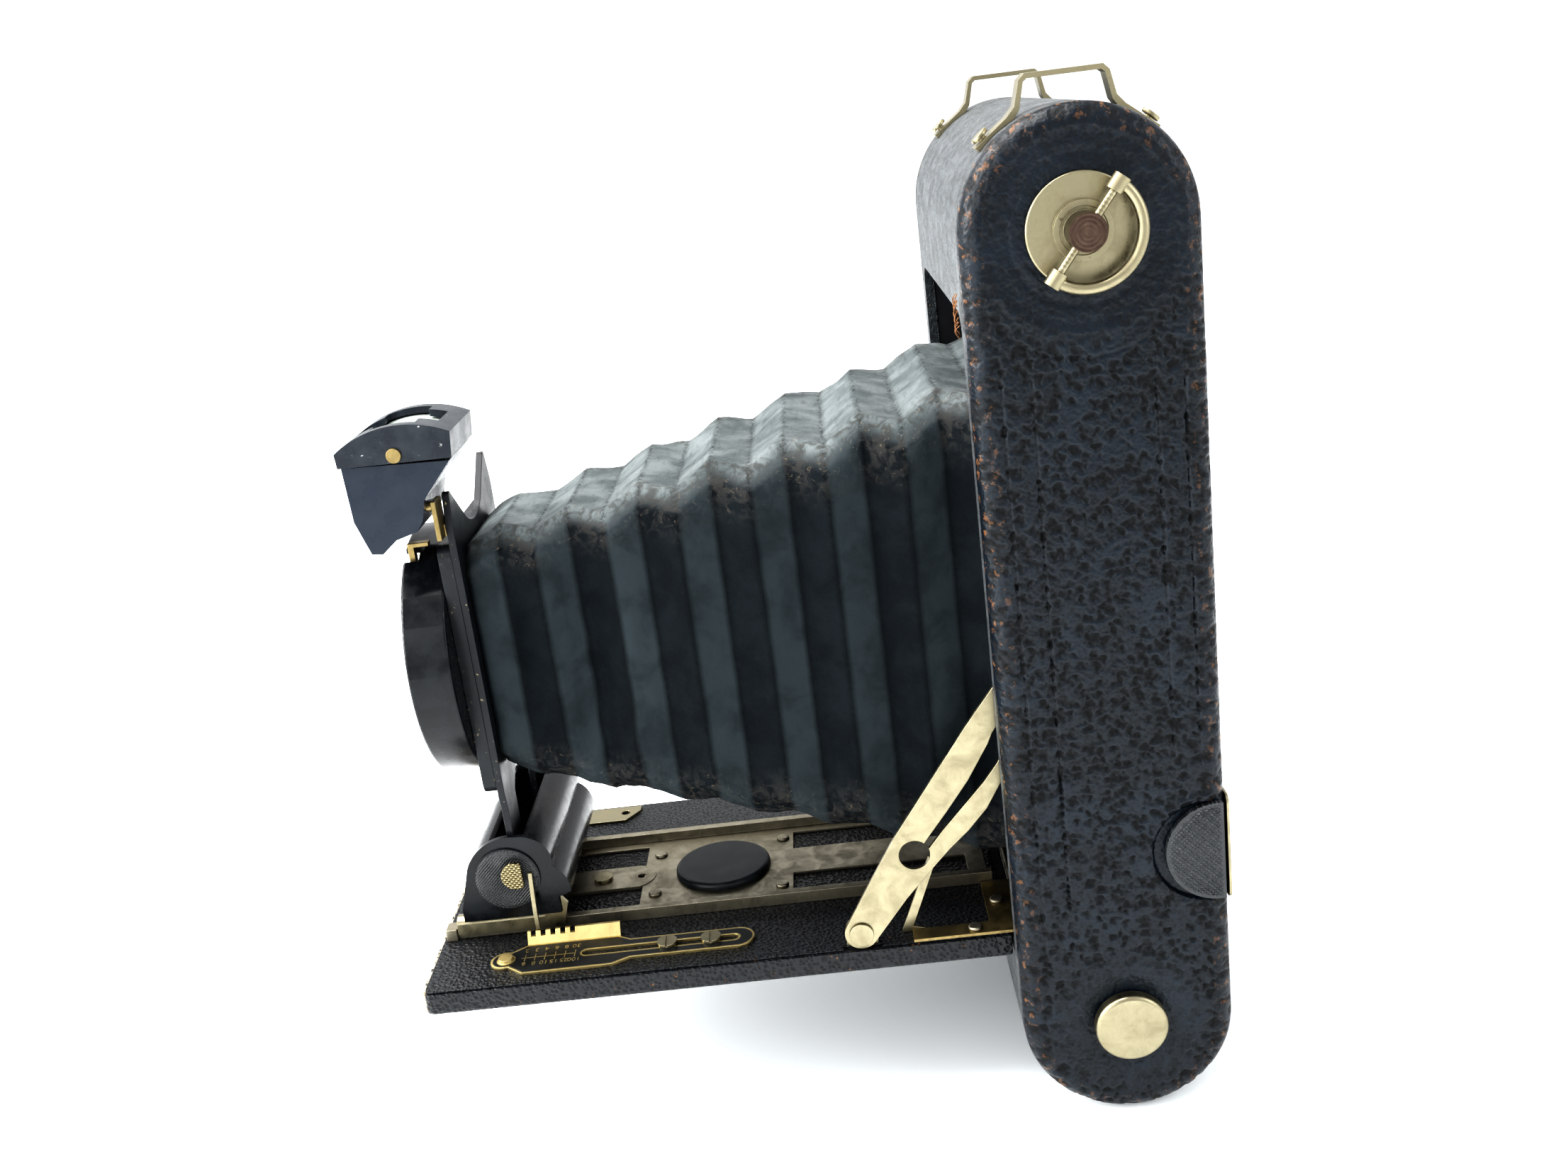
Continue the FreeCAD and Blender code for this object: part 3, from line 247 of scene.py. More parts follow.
def bellows_leather():
    """Matt thin leather, browner and frayed at the scuffed corners; its top and one half of each
    side pleat are painted paler as painted light, and its folds painted darker as painted shade.
    """
    look = Look("bellows_leather", Specular_IOR_Level=0.06, Sheen_Weight=0.01,
                Sheen_Roughness=0.5)
    grain = look.noise(0.55 * MM, 4, 0.7)
    cloud = look.noise(11 * MM, 4, 0.6, warp=0.4)
    look.bump(look.noise(4.5 * MM, 3, 0.6), 0.35 * MM, 0.5)
    look.bump(grain, 0.07 * MM, 0.6)
    side = look.mix(look.ramp(cloud, 0.35, 0.7), (0.0022, 0.0038, 0.0052), (0.0048, 0.0074, 0.0092))
    # Painted light: the top of the bellows, which the overhead lamp lights, is given a far paler
    # grey than the dark sides.
    worn_and_lit = look.mix(look.ramp(cloud, 0.3, 0.7), (0.058, 0.068, 0.070), (0.125, 0.138, 0.140))
    tone = look.mix(look.stored("top"), side, worn_and_lit)
    streak = look.noise(1.5 * MM, 4, 0.6, place=look.stretched(0.2, 1, 1))
    dusk = look.math("MULTIPLY", look.stored("top"), look.ramp(streak, 0.5, 0.75, (0, 0.35)))
    tone = look.mix(dusk, tone, (0.018, 0.021, 0.022))
    crease = look.stored("crease")
    # Painted shade: the colour darkens towards near-black along the folds, broken up by noise.
    line = look.math("MULTIPLY", crease, look.ramp(look.noise(1.0 * MM, 4, 0.7), 0.38, 0.6))
    tone = look.mix(look.math("MULTIPLY", line, 0.75), tone, (0.0025, 0.003, 0.0035))
    corner = look.stored("corner")
    blotch = look.noise(3.0 * MM, 5, 0.6, warp=0.8)
    rub = look.math("MULTIPLY", corner, look.ramp(blotch, 0.40, 0.62))
    tone = look.mix(look.math("MULTIPLY", rub, 0.7), tone, (0.030, 0.029, 0.027))
    fibre = look.noise(1.6 * MM, 5, 0.7, warp=0.5)
    frayed = look.math("MULTIPLY", corner, look.ramp(fibre, 0.60, 0.66))
    tone = look.mix(look.math("MULTIPLY", frayed, 0.45), tone, (0.12, 0.098, 0.072))
    fleck = look.ramp(look.cells(1.9 * MM), 0.0, 0.045, (0.6, 0.0))
    tone = look.mix(fleck, tone, (0.045, 0.054, 0.058))
    # Painted light: one half of each side pleat is painted paler, as if lit by the lamps, varied by
    # the cloud noise.
    lit_fold_half = look.math("MULTIPLY", look.stored("lit_fold_half"), look.ramp(cloud, 0.25, 0.6, (0.55, 1.0)))
    tone = look.mix(look.math("MULTIPLY", lit_fold_half, 0.6), tone, (0.036, 0.046, 0.051))
    return look.done(tone, look.ramp(grain, 0.3, 0.7, (0.55, 0.72)))


def plated(name, bright, dull, rough=(0.22, 0.42), spots=0.35, brushed=(1, 1, 1)):
    """Aged plating: brushed, with dull patches, fingerprints and small dark spots."""
    look = Look(name, Metallic=1.0)
    patch = look.noise(5 * MM, 5, 0.65, warp=0.5)
    hair = look.noise(0.25 * MM, 3, 0.6, place=look.stretched(*brushed))
    look.bump(hair, 0.008 * MM, 0.5)
    look.bump(look.noise(2.5 * MM, 2), 0.04 * MM, 0.4)
    tone = look.mix(look.ramp(patch, 0.25, 0.85), bright, dull)
    fleck = look.ramp(look.noise(0.7 * MM, 5, 0.75), 0.60, 0.70)
    tone = look.mix(look.math("MULTIPLY", fleck, spots), tone, tuple(c * 0.18 for c in dull))
    value = look.math("ADD", look.ramp(patch, 0.3, 0.7, rough), look.math("MULTIPLY", hair, 0.08))
    return look.done(tone, value)


def enamel(name, tone, rough=0.16, worn_and_lit=0.0, metal=(0.30, 0.24, 0.15), dust=0.12):
    """Baked black enamel with faint dust, hair scratches and, where chipped, bare metal spots."""
    look = Look(name, Specular_IOR_Level=0.22, Coat_Weight=0.05, Coat_Roughness=0.08)
    haze = look.noise(6 * MM, 4, 0.6)
    scratch = look.noise(0.3 * MM, 2, 0.5, place=look.stretched(0.08, 1, 1, (0.3, 0.2, 0.5)))
    look.bump(look.noise(4.0 * MM, 2), 0.008 * MM, 0.4)
    look.bump(scratch, 0.004 * MM, 0.5)
    colour = look.mix(look.ramp(haze, 0.35, 0.75, (0.0, dust)), tone, (0.045, 0.053, 0.060))
    if worn_and_lit:
        chip = look.ramp(look.noise(1.5 * MM, 6, 0.75), 0.70 - worn_and_lit * 0.1, 0.73 - worn_and_lit * 0.1)
        colour = look.mix(chip, colour, metal)
    value = look.math("ADD", look.ramp(haze, 0.3, 0.7, (rough, rough + 0.14)),
                      look.math("MULTIPLY", scratch, 0.06))
    return look.done(colour, value)


def knurled(name, tone, period, turn, rough=0.3, metal=0.0):
    """Small pyramids in a square lattice, as rolled or stamped into a grip; their tips painted
    lighter and the grooves darker as painted highlight and shade.
    """
    look = Look(name, Metallic=metal, Specular_IOR_Level=0.6)
    lattice = look.cells(period, random=0.0, place=look.stretched(turn=turn))
    look.bump(look.ramp(lattice, 0.05, 0.62, (1.0, 0.0)), 0.22 * MM, 1.0)
    patch = look.noise(3 * MM, 4)
    # Painted highlight and shade: the pyramid tips are painted lighter than the tone and the
    # grooves between them darker.
    colour = look.mix(look.ramp(lattice, 0.1, 0.55), tuple(min(1, c * 1.6) for c in tone),
                      tuple(c * 0.35 for c in tone))
    return look.done(colour, look.ramp(patch, 0.3, 0.7, (rough, rough + 0.2)))


def wood():
    look = Look("turned_wood", Specular_IOR_Level=0.4)
    rings = look.noise(1.2 * MM, 5, 0.6, warp=1.0, place=look.stretched(0.12, 1, 1))
    look.bump(rings, 0.05 * MM, 0.6)
    return look.done(look.mix(rings, (0.16, 0.075, 0.03), (0.34, 0.18, 0.08)), 0.5)


def clear_glass(name, tint=(1, 1, 1), rough=0.02):
    look = Look(name, Transmission_Weight=1.0, IOR=1.5)
    smear = look.noise(4 * MM, 4)
    return look.done((*tint, 1.0), look.ramp(smear, 0.4, 0.8, (rough, rough + 0.12)))


def worn_bed_leather():
    """The bed's leather, abraded through to pale board along its front edge and corners."""
    look = Look("leather_bed_worn", Specular_IOR_Level=0.26)
    pads = fine_grain(look, 1.1, 1.8, 0.9)
    # Painted highlight and shade: the pads take the lighter colour and the gaps between them the
    # darker one.
    tone = look.mix(pads, (0.0020, 0.0024, 0.003), (0.0075, 0.0085, 0.0105))
    spot = look.ramp(look.noise(2.6 * MM, 5, 0.75), 0.64, 0.68, (0.0, 0.8))
    tone = look.mix(spot, tone, (0.14, 0.065, 0.025))
    low_corner, high_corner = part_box("bed_plate")
    front, high = low_corner[1], high_corner[2]
    edge = look.ramp(look.axis(1), front + 0.3 * MM, front + 1.6 * MM, (1.0, 0.0))
    brink = look.ramp(look.axis(2), high - 1.5 * MM, high - 0.5 * MM)
    corner = look.ramp(look.math("ABSOLUTE", look.axis(0)), 44 * MM, 48 * MM)
    where = look.math("MULTIPLY", edge, look.math("MAXIMUM", brink, corner))
    rub = look.math("MULTIPLY", where, look.ramp(look.noise(2.0 * MM, 5, 0.7), 0.40, 0.50))
    tone = look.mix(rub, tone, (0.46, 0.40, 0.29))
    return look.done(tone, look.ramp(pads, 0.1, 0.9, (0.5, 0.28)))


def shaft_metal(bright, dull):
    """Nickel cross rod round a browned centre with turned rings."""
    look = Look("winding_centre", Metallic=1.0)
    off = look.node("VectorMath", {0: look.place, 1: (0, 0, HIGH * MM)}, operation="SUBTRACT")
    flat = look.node("VectorMath", {0: off.outputs[0], 1: (0, 1, 1)}, operation="MULTIPLY")
    radius = look.node("VectorMath", {0: flat.outputs[0]}, operation="LENGTH").outputs["Value"]
    middle = look.ramp(radius, 3.9 * MM, 4.3 * MM, (1.0, 0.0))
    brown = look.mix(look.noise(1.2 * MM, 4), (0.045, 0.028, 0.024), (0.13, 0.092, 0.070))
    look.bump(look.math("SINE", look.math("MULTIPLY", radius, 7000.0)), 0.03 * MM, 0.5)
    metal = look.mix(look.ramp(look.noise(3 * MM, 4), 0.4, 0.6), bright, dull)
    return look.done(look.mix(middle, metal, brown), look.ramp(radius, 0.0, 4 * MM, (0.5, 0.3)))


def condenser():
    """The finder's top lens with its mirror behind: milky and a little dusty, its silvery look a
    painted reflection of the mirror.
    """
    look = Look("finder_condenser", IOR=1.5, Coat_Weight=0.6, Coat_Roughness=0.06)
    dust = look.noise(1.5 * MM, 5, 0.7)
    # Painted reflection: the pale silvery grey stands in for the finder mirror's reflection; the
    # dust noise varies it.
    return look.done(look.mix(dust, (0.44, 0.50, 0.47), (0.62, 0.67, 0.63)),
                     look.ramp(dust, 0.3, 0.7, (0.08, 0.25)))


def frayed_thread():
    look = Look("frayed_thread", Specular_IOR_Level=0.2)
    tone = look.mix(look.noise(0.8 * MM, 4), (0.09, 0.038, 0.016), (0.24, 0.12, 0.055))
    return look.done(tone, 0.8)


def make_looks():
    nickel, dull = (0.29, 0.262, 0.178), (0.215, 0.19, 0.126)
    return {
        "side": seal_leather("leather_side", (0.0042, 0.0074, 0.0118), (0.0009, 0.0016, 0.0028)),
        "back": grained_leather("leather_back", (0.010, 0.013, 0.016), (0.0020, 0.0026, 0.0035)),
        "bed": grained_leather("leather_bed", (0.0075, 0.0085, 0.0105), (0.0020, 0.0024, 0.003),
                               1.1),
        "bed_edge": worn_bed_leather(),
        "shaft": shaft_metal(nickel, dull),
        "thread": frayed_thread(),
        "band": band_leather(),
        "bellows": bellows_leather(),
        "nickel": plated("nickel_warm", nickel, dull),
        "steel": plated("nickel_grey", (0.30, 0.275, 0.215), (0.15, 0.135, 0.10), (0.30, 0.5), 0.5,
                        (1, 0.1, 1)),
        "brass": plated("brass", (0.27, 0.21, 0.10), (0.15, 0.115, 0.052), (0.28, 0.48)),
        "enamel": enamel("enamel_black", (0.0022, 0.0028, 0.004)),
        "panel": enamel("enamel_panel", (0.006, 0.007, 0.009), 0.3, 0.6),
        "finder": enamel("enamel_finder", (0.010, 0.015, 0.025), 0.20, 0.2),
        "frame_top": enamel("enamel_frame", (0.010, 0.013, 0.018), 0.2, 0.45,
                            (0.42, 0.42, 0.40), 0.3),
        "matt": enamel("matt_black", (0.008, 0.008, 0.009), 0.6),
        "boss": enamel("ebonite", (0.006, 0.0075, 0.009), 0.30, 0.0, dust=0.3),
        "latch": knurled("latch_knurl", (0.022, 0.026, 0.030), 0.62 * MM,
                         (math.radians(45), 0, 0)),
        "pad": knurled("pad_knurl", (0.012, 0.014, 0.017), 0.62 * MM, (math.radians(45), 0, 0)),
        "outline": plated("brass_bright", (0.50, 0.41, 0.20), (0.33, 0.26, 0.12), (0.3, 0.5)),
        "field": enamel("scale_field", (0.003, 0.0033, 0.0035), 0.35),
        "checkered": knurled("button_checks", (0.34, 0.29, 0.17), 0.85 * MM,
                             (math.radians(45), 0, 0), 0.25, 1.0),
        "wood": wood(),
        "glass": clear_glass("optical_glass"),
        "condenser": condenser(),
        "ruby": clear_glass("ruby_window", (0.45, 0.012, 0.01)),
    }


EDGE_ANGLE, SMOOTH_ANGLE = 34, 40    # degrees: what is rounded, and what is shaded as one


# ---- mesh helpers ---------------------------------------------------------


def piece(name, verts, faces, body, look, smooth_angle=35, stands_for=()):
    """A mesh object that rides on a body, finished and shaded."""
    mesh = bpy.data.meshes.new(name)
    mesh.from_pydata([tuple(v) for v in verts], [], faces)
    obj = bpy.data.objects.new(name, mesh)
    return settle(obj, body, look, smooth_angle, stands_for)


def settle(obj, body, look, smooth_angle=35, stands_for=()):
    if not obj.users_collection:
        bpy.context.scene.collection.objects.link(obj)
    mesh = obj.data
    bm = bmesh.new()
    bm.from_mesh(mesh)
    bmesh.ops.recalc_face_normals(bm, faces=bm.faces)
    bm.to_mesh(mesh)
    bm.free()
    mesh.shade_smooth()
    mesh.set_sharp_from_angle(angle=math.radians(smooth_angle))
    for one in look if isinstance(look, (list, tuple)) else [look]:
        mesh.materials.append(one)
    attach(obj, body)
    if stands_for:
        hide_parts(*stands_for)
    return obj


def baked(obj):
    """The object with its modifiers applied."""
    bpy.context.view_layer.update()
    graph = bpy.context.evaluated_depsgraph_get()
    mesh = bpy.data.meshes.new_from_object(obj.evaluated_get(graph))
    obj.modifiers.clear()
    obj.data = mesh
    return obj


def eased(node, look, bevel=0.15, shape=None):
    """A copy of a CAD node's mesh with clean flat faces and softly broken edges."""
    source = NODES[node]
    body, slot = source["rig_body"], SLOT_OF[node]
    bm = bmesh.new()
    bm.from_mesh(source.data)
    bmesh.ops.remove_doubles(bm, verts=bm.verts, dist=0.004 * MM)
    bmesh.ops.dissolve_limit(bm, angle_limit=math.radians(1.0), verts=bm.verts, edges=bm.edges)
    if shape:
        shape(bm)
    mesh = bpy.data.meshes.new("soft_" + node)
    bm.to_mesh(mesh)
    bm.free()
    obj = bpy.data.objects.new("soft_" + node, mesh)
    bpy.context.scene.collection.objects.link(obj)
    if bevel:
        mod = obj.modifiers.new("edge", "BEVEL")
        mod.width = bevel * MM
        mod.segments = 2
        mod.limit_method = "ANGLE"
        mod.angle_limit = math.radians(EDGE_ANGLE)
    baked(obj)
    settle(obj, body, look, SMOOTH_ANGLE, (node,))
    even = obj.modifiers.new("normals", "WEIGHTED_NORMAL")
    even.keep_sharp = True
    return baked(obj)


def store(obj, name, values):
    layer = obj.data.attributes.new(name, "FLOAT", "POINT")
    layer.data.foreach_set("value", values)


def smoothstep(low, high, value):
    t = min(1.0, max(0.0, (value - low) / (high - low)))
    return t * t * (3 - 2 * t)


def hump(value, centre, width):
    return math.exp(-((value - centre) / width) ** 2)


# ---- leather sides --------------------------------------------------------

END_R = 25.4                           # radius of the body's rounded ends
FACE, INNER, EDGE = 60.3, 54.3, 4.6    # outer face, inner face and edge radius of a cover
SKIN = 0.75                            # most that the leather may stand proud of the face
PIT_DEPTH = 0.52
LATCH_Y, LATCH_Z, LATCH_R = 23.0, 70.0, 12.45


def side_relief(y, z, near):
    """Height of the leather over the flat cover, in mm: embossed lines, dishes and the latch."""
    from_key = math.hypot(y, z - HIGH)
    from_pin = math.hypot(y, z - LOW)
    h = -0.9 * (1 - smoothstep(8.5, 14.5, from_pin))
    h += 0.10 * hump(from_pin, 16.2, 1.6)
    h -= 0.16 * hump(from_pin, 20.3, 0.8) * smoothstep(25, 38, z)
    h -= 0.14 * hump(from_pin, 26.5, 0.7) * smoothstep(34, 46, z)
    if near:
        h -= 0.30 * (1 - smoothstep(19.4, 21.4, from_key)) - 0.14 * hump(from_key, 21.9, 1.0)
        h -= 0.20 * hump(from_key, 15.6, 1.1)
        if z < HIGH - 12:
            h -= 0.26 * hump(from_key, 26.7, 0.35) * smoothstep(19, 12, abs(y))
        h += latch_relief(y, z)
    else:
        h -= 0.9 * (1 - smoothstep(8.5, 14.5, from_key))
    for line in (-19.2, -12.6, 13.7, 19.8):
        start = 88 if line > 0 else 44
        ends = smoothstep(start - 4, start + 10, z) * (1 - smoothstep(183, 193, z))
        h -= 0.45 * hump(y, line, 0.34) * ends
        h += 0.07 * hump(y, line + 0.75, 0.4) * ends
    h += 0.22 * (noise.noise(Vector((y / 17, z / 21, 3.1 if near else 8.4))))
    return h


def pebble(y, z, sign):
    """How deep the leather's grain is at a point: 1 in a pit, 0 on the pads between."""
    q = Vector((y / 2.5, z / 2.2, 7.0 * sign))
    q += Vector(noise.noise_vector(q * 1.3)) * 0.45
    near_pit = noise.voronoi(q)[0][0] + 0.16 * noise.noise(q * 3.1)
    deep = 1 - smoothstep(0.22, 0.64, near_pit)
    from_key, from_pin = math.hypot(y, z - HIGH), math.hypot(y, z - LOW)
    calm = max(1 - smoothstep(19, 27, from_key), 1 - smoothstep(13, 21, from_pin))
    return deep * (1 - 0.72 * calm)


def latch_relief(y, z):
    """Half-round cut for the back's latch, with a swollen lip of leather round it."""
    gap = min(math.hypot(y - LATCH_Y, z - LATCH_Z), math.hypot(y - 20.4, z - LATCH_Z))
    inside = 1 - smoothstep(LATCH_R, LATCH_R + 0.4, gap)
    lip = 0.5 * hump(gap, 14.2, 1.1) * smoothstep(26, 20, y)
    return -1.35 * inside + lip * (1 - inside)


def side_cover(name, node, near):
    """Leather-covered end cover: stadium rings from the rim inwards, closed at the back."""
    sign = 1 if near else -1
    arc, line = (150, 560) if near else (90, 330)
    step = 0.34 if near else 0.6
    rings = [(END_R, INNER, 0)]
    rings += [(END_R, INNER + (FACE - EDGE - INNER) * k, 1) for k in (0.5, 1.0)]
    for k in range(1, 9):
        t = math.radians(90 * k / 8)
        rings.append((END_R - EDGE * (1 - math.cos(t)), FACE - EDGE * (1 - math.sin(t)),
                      1 - k / 16))
    radius = END_R - EDGE
    while radius > step * 1.2:
        radius -= step
        rings.append((radius, FACE, 0))
    rings.append((0.0, FACE, 0))
    verts, wear, pits = [], [], []
    for radius, x, edge in rings:
        for y, z in stadium_ring(radius, arc, line):
            rise = side_relief(y, z, near) * smoothstep(END_R - 1.2, END_R - EDGE - 0.6, radius)
            swell = 0.18 * noise.noise(Vector((y / 9, z / 9, 5 * sign))) if edge else 0
            deep = pebble(y, z, sign) * (smoothstep(INNER + 1, FACE - 2, x) if edge else 1)
            in_cut = near and latch_relief(y, z) < -0.3
            deep = 0.0 if in_cut else deep
            px = min(x + rise + (swell if x > FACE - EDGE else 0), FACE + SKIN)
            verts.append(Vector((sign * (px - PIT_DEPTH * deep), y, z)) * MM)
            wear.append(edge * edge)
            pits.append(deep)
    count = 2 * (arc + line)
    faces = []
    for r in range(len(rings) - 1):
        for i in range(count):
            j = (i + 1) % count
            faces.append((r * count + i, r * count + j, (r + 1) * count + j, (r + 1) * count + i))
    faces.append(tuple(range(count - 1, -1, -1)))
    obj = piece(name, verts, faces, "body", LOOKS["side"], 80, (node,))
    store(obj, "wear", wear)
    store(obj, "pit", pits)
    weld(obj, 0.002)
    return obj


def stadium_ring(radius, arc, line):
    """Points (y, z) round a stadium of the given end radius, in one fixed order."""
    out = []
    for i in range(arc):
        t = math.pi * i / arc
        out.append((radius * math.cos(t), HIGH + radius * math.sin(t)))
    for i in range(line):
        out.append((-radius, HIGH + (LOW - HIGH) * i / line))
    for i in range(arc):
        t = math.pi + math.pi * i / arc
        out.append((radius * math.cos(t), LOW + radius * math.sin(t)))
    for i in range(line):
        out.append((radius, LOW + (HIGH - LOW) * i / line))
    return out


def weld(obj, distance):
    """Join points closer than `distance` mm and turn every face outwards."""
    bm = bmesh.new()
    bm.from_mesh(obj.data)
    bmesh.ops.remove_doubles(bm, verts=bm.verts, dist=distance * MM)
    bmesh.ops.recalc_face_normals(bm, faces=bm.faces)
    bm.to_mesh(obj.data)
    bm.free()


# ---- bellows --------------------------------------------------------------

PLEATS, BELLOWS_FRONT, BELLOWS_BACK = 9, -149.9, 14.9
ROWS_PER_PLEAT = 14
LEATHER_WALL = 0.7
BELLOWS_AXIS_Z = 122.5


def fold(turns):
    """Rounded zigzag: 0 on a ridge (half turns), 1 in a valley (whole turns)."""
    return 1 - math.acos(0.9993 * math.cos(2 * math.pi * turns)) / math.pi


def bellows_section(s):
    """(half width, top z, low z, corner) of the bellows at pleat position s, in mm."""
    t = s / PLEATS
    wide = min(t / 0.78, 1.0)
    deep = 3.1 + 1.8 * t
    side_valley, top_valley = fold(s + 0.5), fold(s)
    if s < 0.5:
        side_valley = side_valley * s * 2 + (1 - s * 2) * 0.55
    half = 22.7 + 22.2 * wide - deep * side_valley
    top = 155.2 + 28.5 * wide - deep * top_valley
    low = 90.4 - 30.3 * wide + deep * top_valley
    corner = 5.0 + 1.4 * t
    return half, top, low, corner


def bellows_outline(s):
    """Points (x, z, top, corner) round the bellows at s, from the near side upwards."""
    half, top, low, c = bellows_section(s)
    pts = []
    side_n, top_n, corner_n = 26, 22, 5

    def run(a, b, n, lid, rub):
        for i in range(n):
            k = i / n
            pts.append((a[0] + (b[0] - a[0]) * k, a[1] + (b[1] - a[1]) * k, lid(k), rub(k)))
    edge = lambda k: max(0.0, 1 - min(k, 1 - k) * 9)
    full = lambda k: 1.0
    run((half, low + c), (half, top - c), side_n, lambda k: 0.0, edge)
    run((half, top - c), (half - c, top), corner_n, lambda k: smoothstep(0, 0.9, k), full)
    run((half - c, top), (-half + c, top), top_n, full, edge)
    run((-half + c, top), (-half, top - c), corner_n, lambda k: smoothstep(1, 0.1, k), full)
    run((-half, top - c), (-half, low + c), side_n, lambda k: 0.0, edge)
    run((-half, low + c), (-half + c, low), corner_n, lambda k: 0.0, full)
    run((-half + c, low), (half - c, low), top_n, lambda k: 0.0, edge)
    run((half - c, low), (half, low + c), corner_n, lambda k: 0.0, full)
    return pts


def bellows():
    """Closed pleated tube, narrow in front, with its folds, wear and painted-light masks stored on
    the points.
    """
    rows = PLEATS * ROWS_PER_PLEAT + 1
    verts, tops, corners, creases, lit_fold_half = [], [], [], [], []
    for r in range(rows):
        s = r / ROWS_PER_PLEAT
        y = BELLOWS_FRONT + (BELLOWS_BACK - BELLOWS_FRONT) * s / PLEATS
        for x, z, top, rub in bellows_outline(s):
            p = Vector((x, y, z))
            p.z -= 0.9 * top * (1 - (x / 48) ** 2) * smoothstep(0, 1.5, s)
            if abs(x) > 20 and top < 0.5:
                p.x *= 1 - 0.010 * math.sin(math.pi * smoothstep(70, 175, z))
            verts.append(crumple(p, rub) * MM)
            near_fold = min(abs(2 * s - round(2 * s)), 0.5)
            tops.append(top)
            corners.append(rub)
            creases.append(max(0.0, 1 - near_fold * 9))
            # Painted light: marks one half of each side pleat, to be painted paler as if lit.
            lit_fold_half.append((1 - top) * smoothstep(0.02, 0.08, (s + 0.5) % 1.0 - 0.5))
    n = len(verts) // rows
    inner = []
    for r in range(rows):
        for i in range(n):
            v = verts[r * n + i]
            centre = Vector((0, v.y, BELLOWS_AXIS_Z * MM))
            inward = (centre - v).normalized()
            inner.append(v + inward * LEATHER_WALL * MM)
    faces = []
    total = rows * n
    for r in range(rows - 1):
        for i in range(n):
            j = (i + 1) % n
            a, b, c, d = r * n + i, r * n + j, (r + 1) * n + j, (r + 1) * n + i
            faces.append((a, b, c, d))
            faces.append((total + d, total + c, total + b, total + a))
    for r in (0, rows - 1):
        for i in range(n):
            j = (i + 1) % n
            faces.append((r * n + i, r * n + j, total + r * n + j, total + r * n + i))
    obj = piece("bellows_pleats", verts + inner, faces, "bellows_body",
                LOOKS["bellows"], 180, ("bellows",))
    for name, values in (("top", tops), ("corner", corners), ("crease", creases),
                         ("lit_fold_half", lit_fold_half)):
        store(obj, name, values + values)
    return obj


def crumple(p, rub):
    """Small folds of use: a dent low on the near side, puckered corners, slack leather."""
    q = p / 7.0
    push = Vector(noise.noise_vector(q)) * (0.25 + 0.55 * rub)
    push.y *= 0.8
    p = p + push
    if p.x > 12:
        dent = hump(p.y, -119.5, 8.5) * hump(p.z, 128, 26)
        p.x -= 3.2 * dent
        ripple = hump(p.y, -121, 13) * smoothstep(150, 90, p.z)
        p.x += 1.7 * ripple * noise.noise(Vector((p.y / 3.2, p.z / 9, 4.0)))
        p.y += 1.3 * ripple * noise.noise(Vector((p.z / 11, 2.0, p.y / 20)))
    return p


# ---- small parts ----------------------------------------------------------


def beads(u, v, pitch):
    """Height of a knurl of small round beads, 0 to 1."""
    a, b = (u + v) / (pitch * 1.414), (u - v) / (pitch * 1.414)
    return (abs(math.cos(math.pi * a)) * abs(math.cos(math.pi * b))) ** 0.8


def sheet(name, rows, base_x, body, look, angle=60, stands_for=()):
    """Closed slab from rows of (x, y, z) points, its flat underside at base_x; all in mm."""
    count = len(rows[0])
    top = [Vector(p) for row in rows for p in row]
    under = [Vector((base_x, p.y, p.z)) for p in top]
    n, faces = len(top), []
    for r in range(len(rows) - 1):
        for i in range(count - 1):
            a, b = r * count + i, (r + 1) * count + i
            faces += [(a, a + 1, b + 1, b), (n + b, n + b + 1, n + a + 1, n + a)]
    rim = [i for i in range(count)] + [r * count + count - 1 for r in range(1, len(rows))]
    rim += [n - 2 - i for i in range(count - 1)]
    rim += [r * count for r in range(len(rows) - 2, 0, -1)]
    faces += [(a, n + a, n + b, b) for a, b in zip(rim, rim[1:] + rim[:1])]
    return piece(name, [v * MM for v in top + under], faces, body, look, angle, stands_for)


def latch():
    """Half-round latch with a beaded face inside a plain rim."""
    radius, cy, cz, right = LATCH_R, LATCH_Y, LATCH_Z, 24.25
    rows = []
    for r in range(141):
        dz = radius * math.sin(math.pi * (r / 140 - 0.5))
        left = cy - math.sqrt(max(0.0, radius ** 2 - dz ** 2))
        row = []
        for i in range(91):
            y = left + (right - left) * i / 90
            inside = radius - math.hypot(min(y - cy, 0.0), dz)
            room = smoothstep(0.5, 1.1, min(inside, right - y))
            x = 60.95 + 0.42 * room * beads(y, dz, 0.85) + 0.08 * (1 - room)
            row.append((x, y, cz + dz))
        rows.append(row)
    sheet("latch_face", rows, 59.1, "latch", LOOKS["latch"], 75,
          ("latch_button",))


def cheek_grip(sign):
    """Beaded round pad on the carriage's cheek, plain where the release button stands."""
    cy, cz, radius = -153.3, 64.5, 8.3
    rows = []
    for r in range(66):
        row = []
        for i in range(121):
            t, rad = 2 * math.pi * i / 120, max(radius * r / 65, 0.01)
            y, z = cy + rad * math.cos(t), cz + rad * math.sin(t)
            clear = smoothstep(3.6, 4.2, math.hypot(y + 150.5, z - 66.3))
            rim = smoothstep(0.2, 0.6, radius - rad)
            row.append((sign * (26.22 + 0.26 * beads(y, z, 0.62) * clear * rim), y, z))
        rows.append(row)
    side = "near" if sign > 0 else "far"
    obj = sheet("cheek_grip_" + side, rows, sign * 26.05, "standard",
                LOOKS["pad"], 75)
    weld(obj, 0.001)


